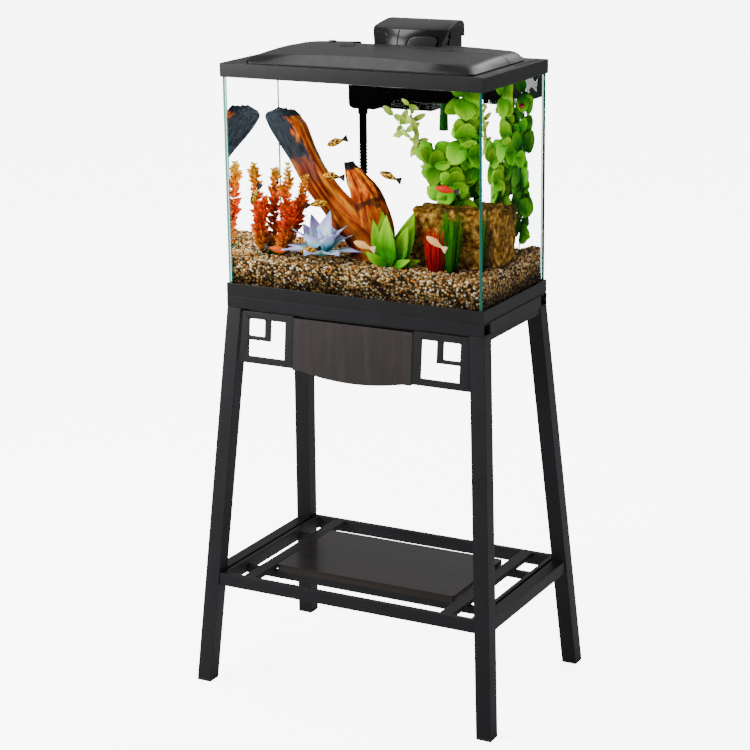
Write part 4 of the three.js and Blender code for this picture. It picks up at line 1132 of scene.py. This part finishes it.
def on_cover(s, z, proud):
    """A point on the cover's face, from -1 at its left end to 1 at its right, standing proud of it."""
    for (z0, *low), (z1, *high) in zip(COVER_FACE, COVER_FACE[1:]):
        if z <= z1 or z1 == COVER_FACE[-1][0]:
            t = (z - z0) / (z1 - z0)
            front, half, bow = (a + (b - a) * t for a, b in zip(low, high))
            return Vector((COVER_MIDDLE + half * s, front + bow * s * s - proud, z))


def add_cover_patch(name, material, ends, levels, arch, proud):
    """A plate that follows the cover's face. Its upper edge is an arch, or straight if arch is 0."""
    columns, rows = 24, 10
    points, faces = [], []
    for i in range(columns + 1):
        across = 2 * i / columns - 1
        s = ends[0] + (ends[1] - ends[0]) * i / columns
        top = levels[1] - arch * (1 - math.sqrt(max(0, 1 - across**4)))
        for j in range(rows + 1):
            points.append(on_cover(s, levels[0] + (top - levels[0]) * j / rows, proud))
    for i in range(columns):
        for j in range(rows):
            a = i * (rows + 1) + j
            faces.append((a, a + rows + 1, a + rows + 2, a + 1))
    plate = add_piece(name, points, faces, material, "filter_cover")
    thicken(plate, PLATE, -1)


def add_cover_details():
    """The rims, the recess and the grip on the filter cover's face, and the seam between them. The recess is
    a dark plate of painted shade.
    """
    # Dark matte plastic: painted shade on the recess, and the dark right rim and seam.
    dark = moulded("cover_dark_trim_and_recess_shade", (0.0015, 0.0015, 0.0016), 0.6, 700, 0.2, 0.1)
    grip = moulded("cover_grip", (0.010, 0.010, 0.011), 0.3, 500, 0.1, 0.5)
    shiny = LOOKS["filter_plastic"]
    add_cover_patch("cover_left_rim", shiny, (-0.97, -0.46), (1168, 1194), 14, 0.5)
    # Painted shade: a dark plate where the left recess is, standing in front of its rim.
    add_cover_patch("cover_left_recess_shade", dark, (-0.92, -0.52), (1168, 1191), 13, 0.9)
    add_cover_patch("cover_right_rim", dark, (0.10, 0.92), (1168, 1192), 13, 0.5)
    add_cover_patch("cover_right_grip", grip, (0.15, 0.88), (1168, 1189.5), 12, 1.0)
    add_cover_patch("cover_seam", dark, (-0.165, -0.135), (1168, 1199.5), 0, 0.3)


# ---- Floor, light and camera ----

# The floor's glow and the world's strength where they are seen, and where they only light the rest.
FLOOR_GLOW = 7.0
FLOOR_DIM = 0.30
WORLD_SEEN = 8.0
WORLD_DIM = 0.45


def dim_paths(graph):
    """1 or more where light has scattered on the way to the camera, and 0 where it is seen directly.

    It is also 0 for a mirror image on the inside of the water, whose last change of way is a smooth one.
    """
    path = graph.node("ShaderNodeLightPath").outputs
    outside = graph.math("SUBTRACT", path["Glossy Depth"], path["Transmission Depth"])
    rough = graph.math("MULTIPLY", path["Glossy Depth"], graph.math("SUBTRACT", 1.0, path["Is Singular Ray"]))
    glossy = graph.math("ADD", graph.math("MAXIMUM", outside, 0.0), rough)
    return graph.math("ADD", path["Diffuse Depth"], glossy)


def add_floor():
    """A pale floor that glows where it is seen, and doesn't where it lights the object."""
    reach = 14
    corners = [(-reach, -reach, 0), (reach, -reach, 0), (reach, reach, 0), (-reach, reach, 0)]
    mesh = bpy.data.meshes.new("floor")
    mesh.from_pydata(corners, [], [(0, 1, 2, 3)])
    look = Look("pale_floor", roughness=0.7, specular=0.2)
    bounces = dim_paths(look)
    pale = look.ramp(look.noise(3, 2), [(0.3, (0.85, 0.85, 0.85)), (0.7, (0.88, 0.88, 0.88))])
    look.color(look.mix(look.span(bounces, 0, 1), pale, (FLOOR_DIM, FLOOR_DIM, FLOOR_DIM, 1)))
    look.set("Emission Color", (1, 1, 1, 1))
    look.set("Emission Strength", look.span(bounces, 0, 1, FLOOR_GLOW, 0.0))
    mesh.materials.append(look.material)
    floor = bpy.data.objects.new("floor", mesh)
    bpy.context.collection.objects.link(floor)


def add_light(name, place, target, size, power):
    data = bpy.data.lights.new(name, "AREA")
    data.shape = "RECTANGLE"
    data.size, data.size_y = size
    data.energy = power
    light = bpy.data.objects.new(name, data)
    light.location = place
    light.rotation_euler = (Vector(target) - Vector(place)).to_track_quat("-Z", "Y").to_euler()
    bpy.context.collection.objects.link(light)


def add_world():
    """A white studio, brighter where it is seen than where it lights the object."""
    world = bpy.data.worlds.new("studio")
    bpy.context.scene.world = world
    world.use_nodes = True
    graph = Graph(world.node_tree)
    background = world.node_tree.nodes["Background"].inputs
    graph.feed(background["Color"], (1, 1, 1, 1))
    graph.feed(background["Strength"], graph.span(dim_paths(graph), 0, 1, WORLD_SEEN, WORLD_DIM))


# The camera was fitted to the corners of the tank, the rails and the feet. Its angles, in degrees,
# are its turn to the object's right, its height above level and its roll.
CAMERA_ANGLES = (28.44, 15.82, -0.81)
CAMERA_TARGET = Vector((-0.0261, 0, 0.5793))
CAMERA_DISTANCE = 3.9181
CAMERA_LENS = 102.34
CAMERA_SENSOR = 36


def add_camera():
    """A camera that looks at its target from the front right and a little above."""
    yaw, pitch, roll = (math.radians(a) for a in CAMERA_ANGLES)
    back = Vector((
        math.sin(yaw) * math.cos(pitch),
        -math.cos(yaw) * math.cos(pitch),
        math.sin(pitch),
    ))
    level = Vector((math.cos(yaw), math.sin(yaw), 0))
    over = back.cross(level)
    right = math.cos(roll) * level + math.sin(roll) * over
    up = -math.sin(roll) * level + math.cos(roll) * over
    data = bpy.data.cameras.new("camera")
    data.lens = CAMERA_LENS
    data.sensor_width = CAMERA_SENSOR
    camera = bpy.data.objects.new("camera", data)
    turn = Matrix((right, up, back)).transposed().to_4x4()
    camera.matrix_world = Matrix.Translation(CAMERA_TARGET + CAMERA_DISTANCE * back) @ turn
    bpy.context.collection.objects.link(camera)
    bpy.context.scene.camera = camera


add_camera()
add_world()
add_light("key", (-2.4, -2.6, 2.6), (0, 0, 0.8), (1.8, 1.8), 120)
add_light("left_sheen", (-2.2, -2.4, 1.25), (-0.2, 0, 1.0), (1.0, 0.6), 100)
add_light("top_fill", (-1.15, -0.65, 3.2), (0, 0, 1.1), (1.3, 1.3), 55)
add_light("back_fill", (0.3, 2.6, 3.0), (0, 0, 0.8), (1.8, 1.4), 60)
add_floor()
dress_frame()
add_water()
add_gravel()
add_pebbles()
add_driftwood()
add_stone()
add_flower()
add_tall_plants()
add_red_bush()
add_broadleaf()
add_tuft(
    "red_tuft", "foliage_red", (140, -58, 803), (0.35, 0.004, 0.004), (0.80, 0.02, 0.015),
    height=82, spread=15, seed=8,
)
add_tuft(
    "green_tuft", "foliage_green", (168, -52, 803), (0.015, 0.12, 0.006), (0.16, 0.46, 0.03),
    height=112, spread=12, seed=10,
)
add_all_fish()
add_cover_details()
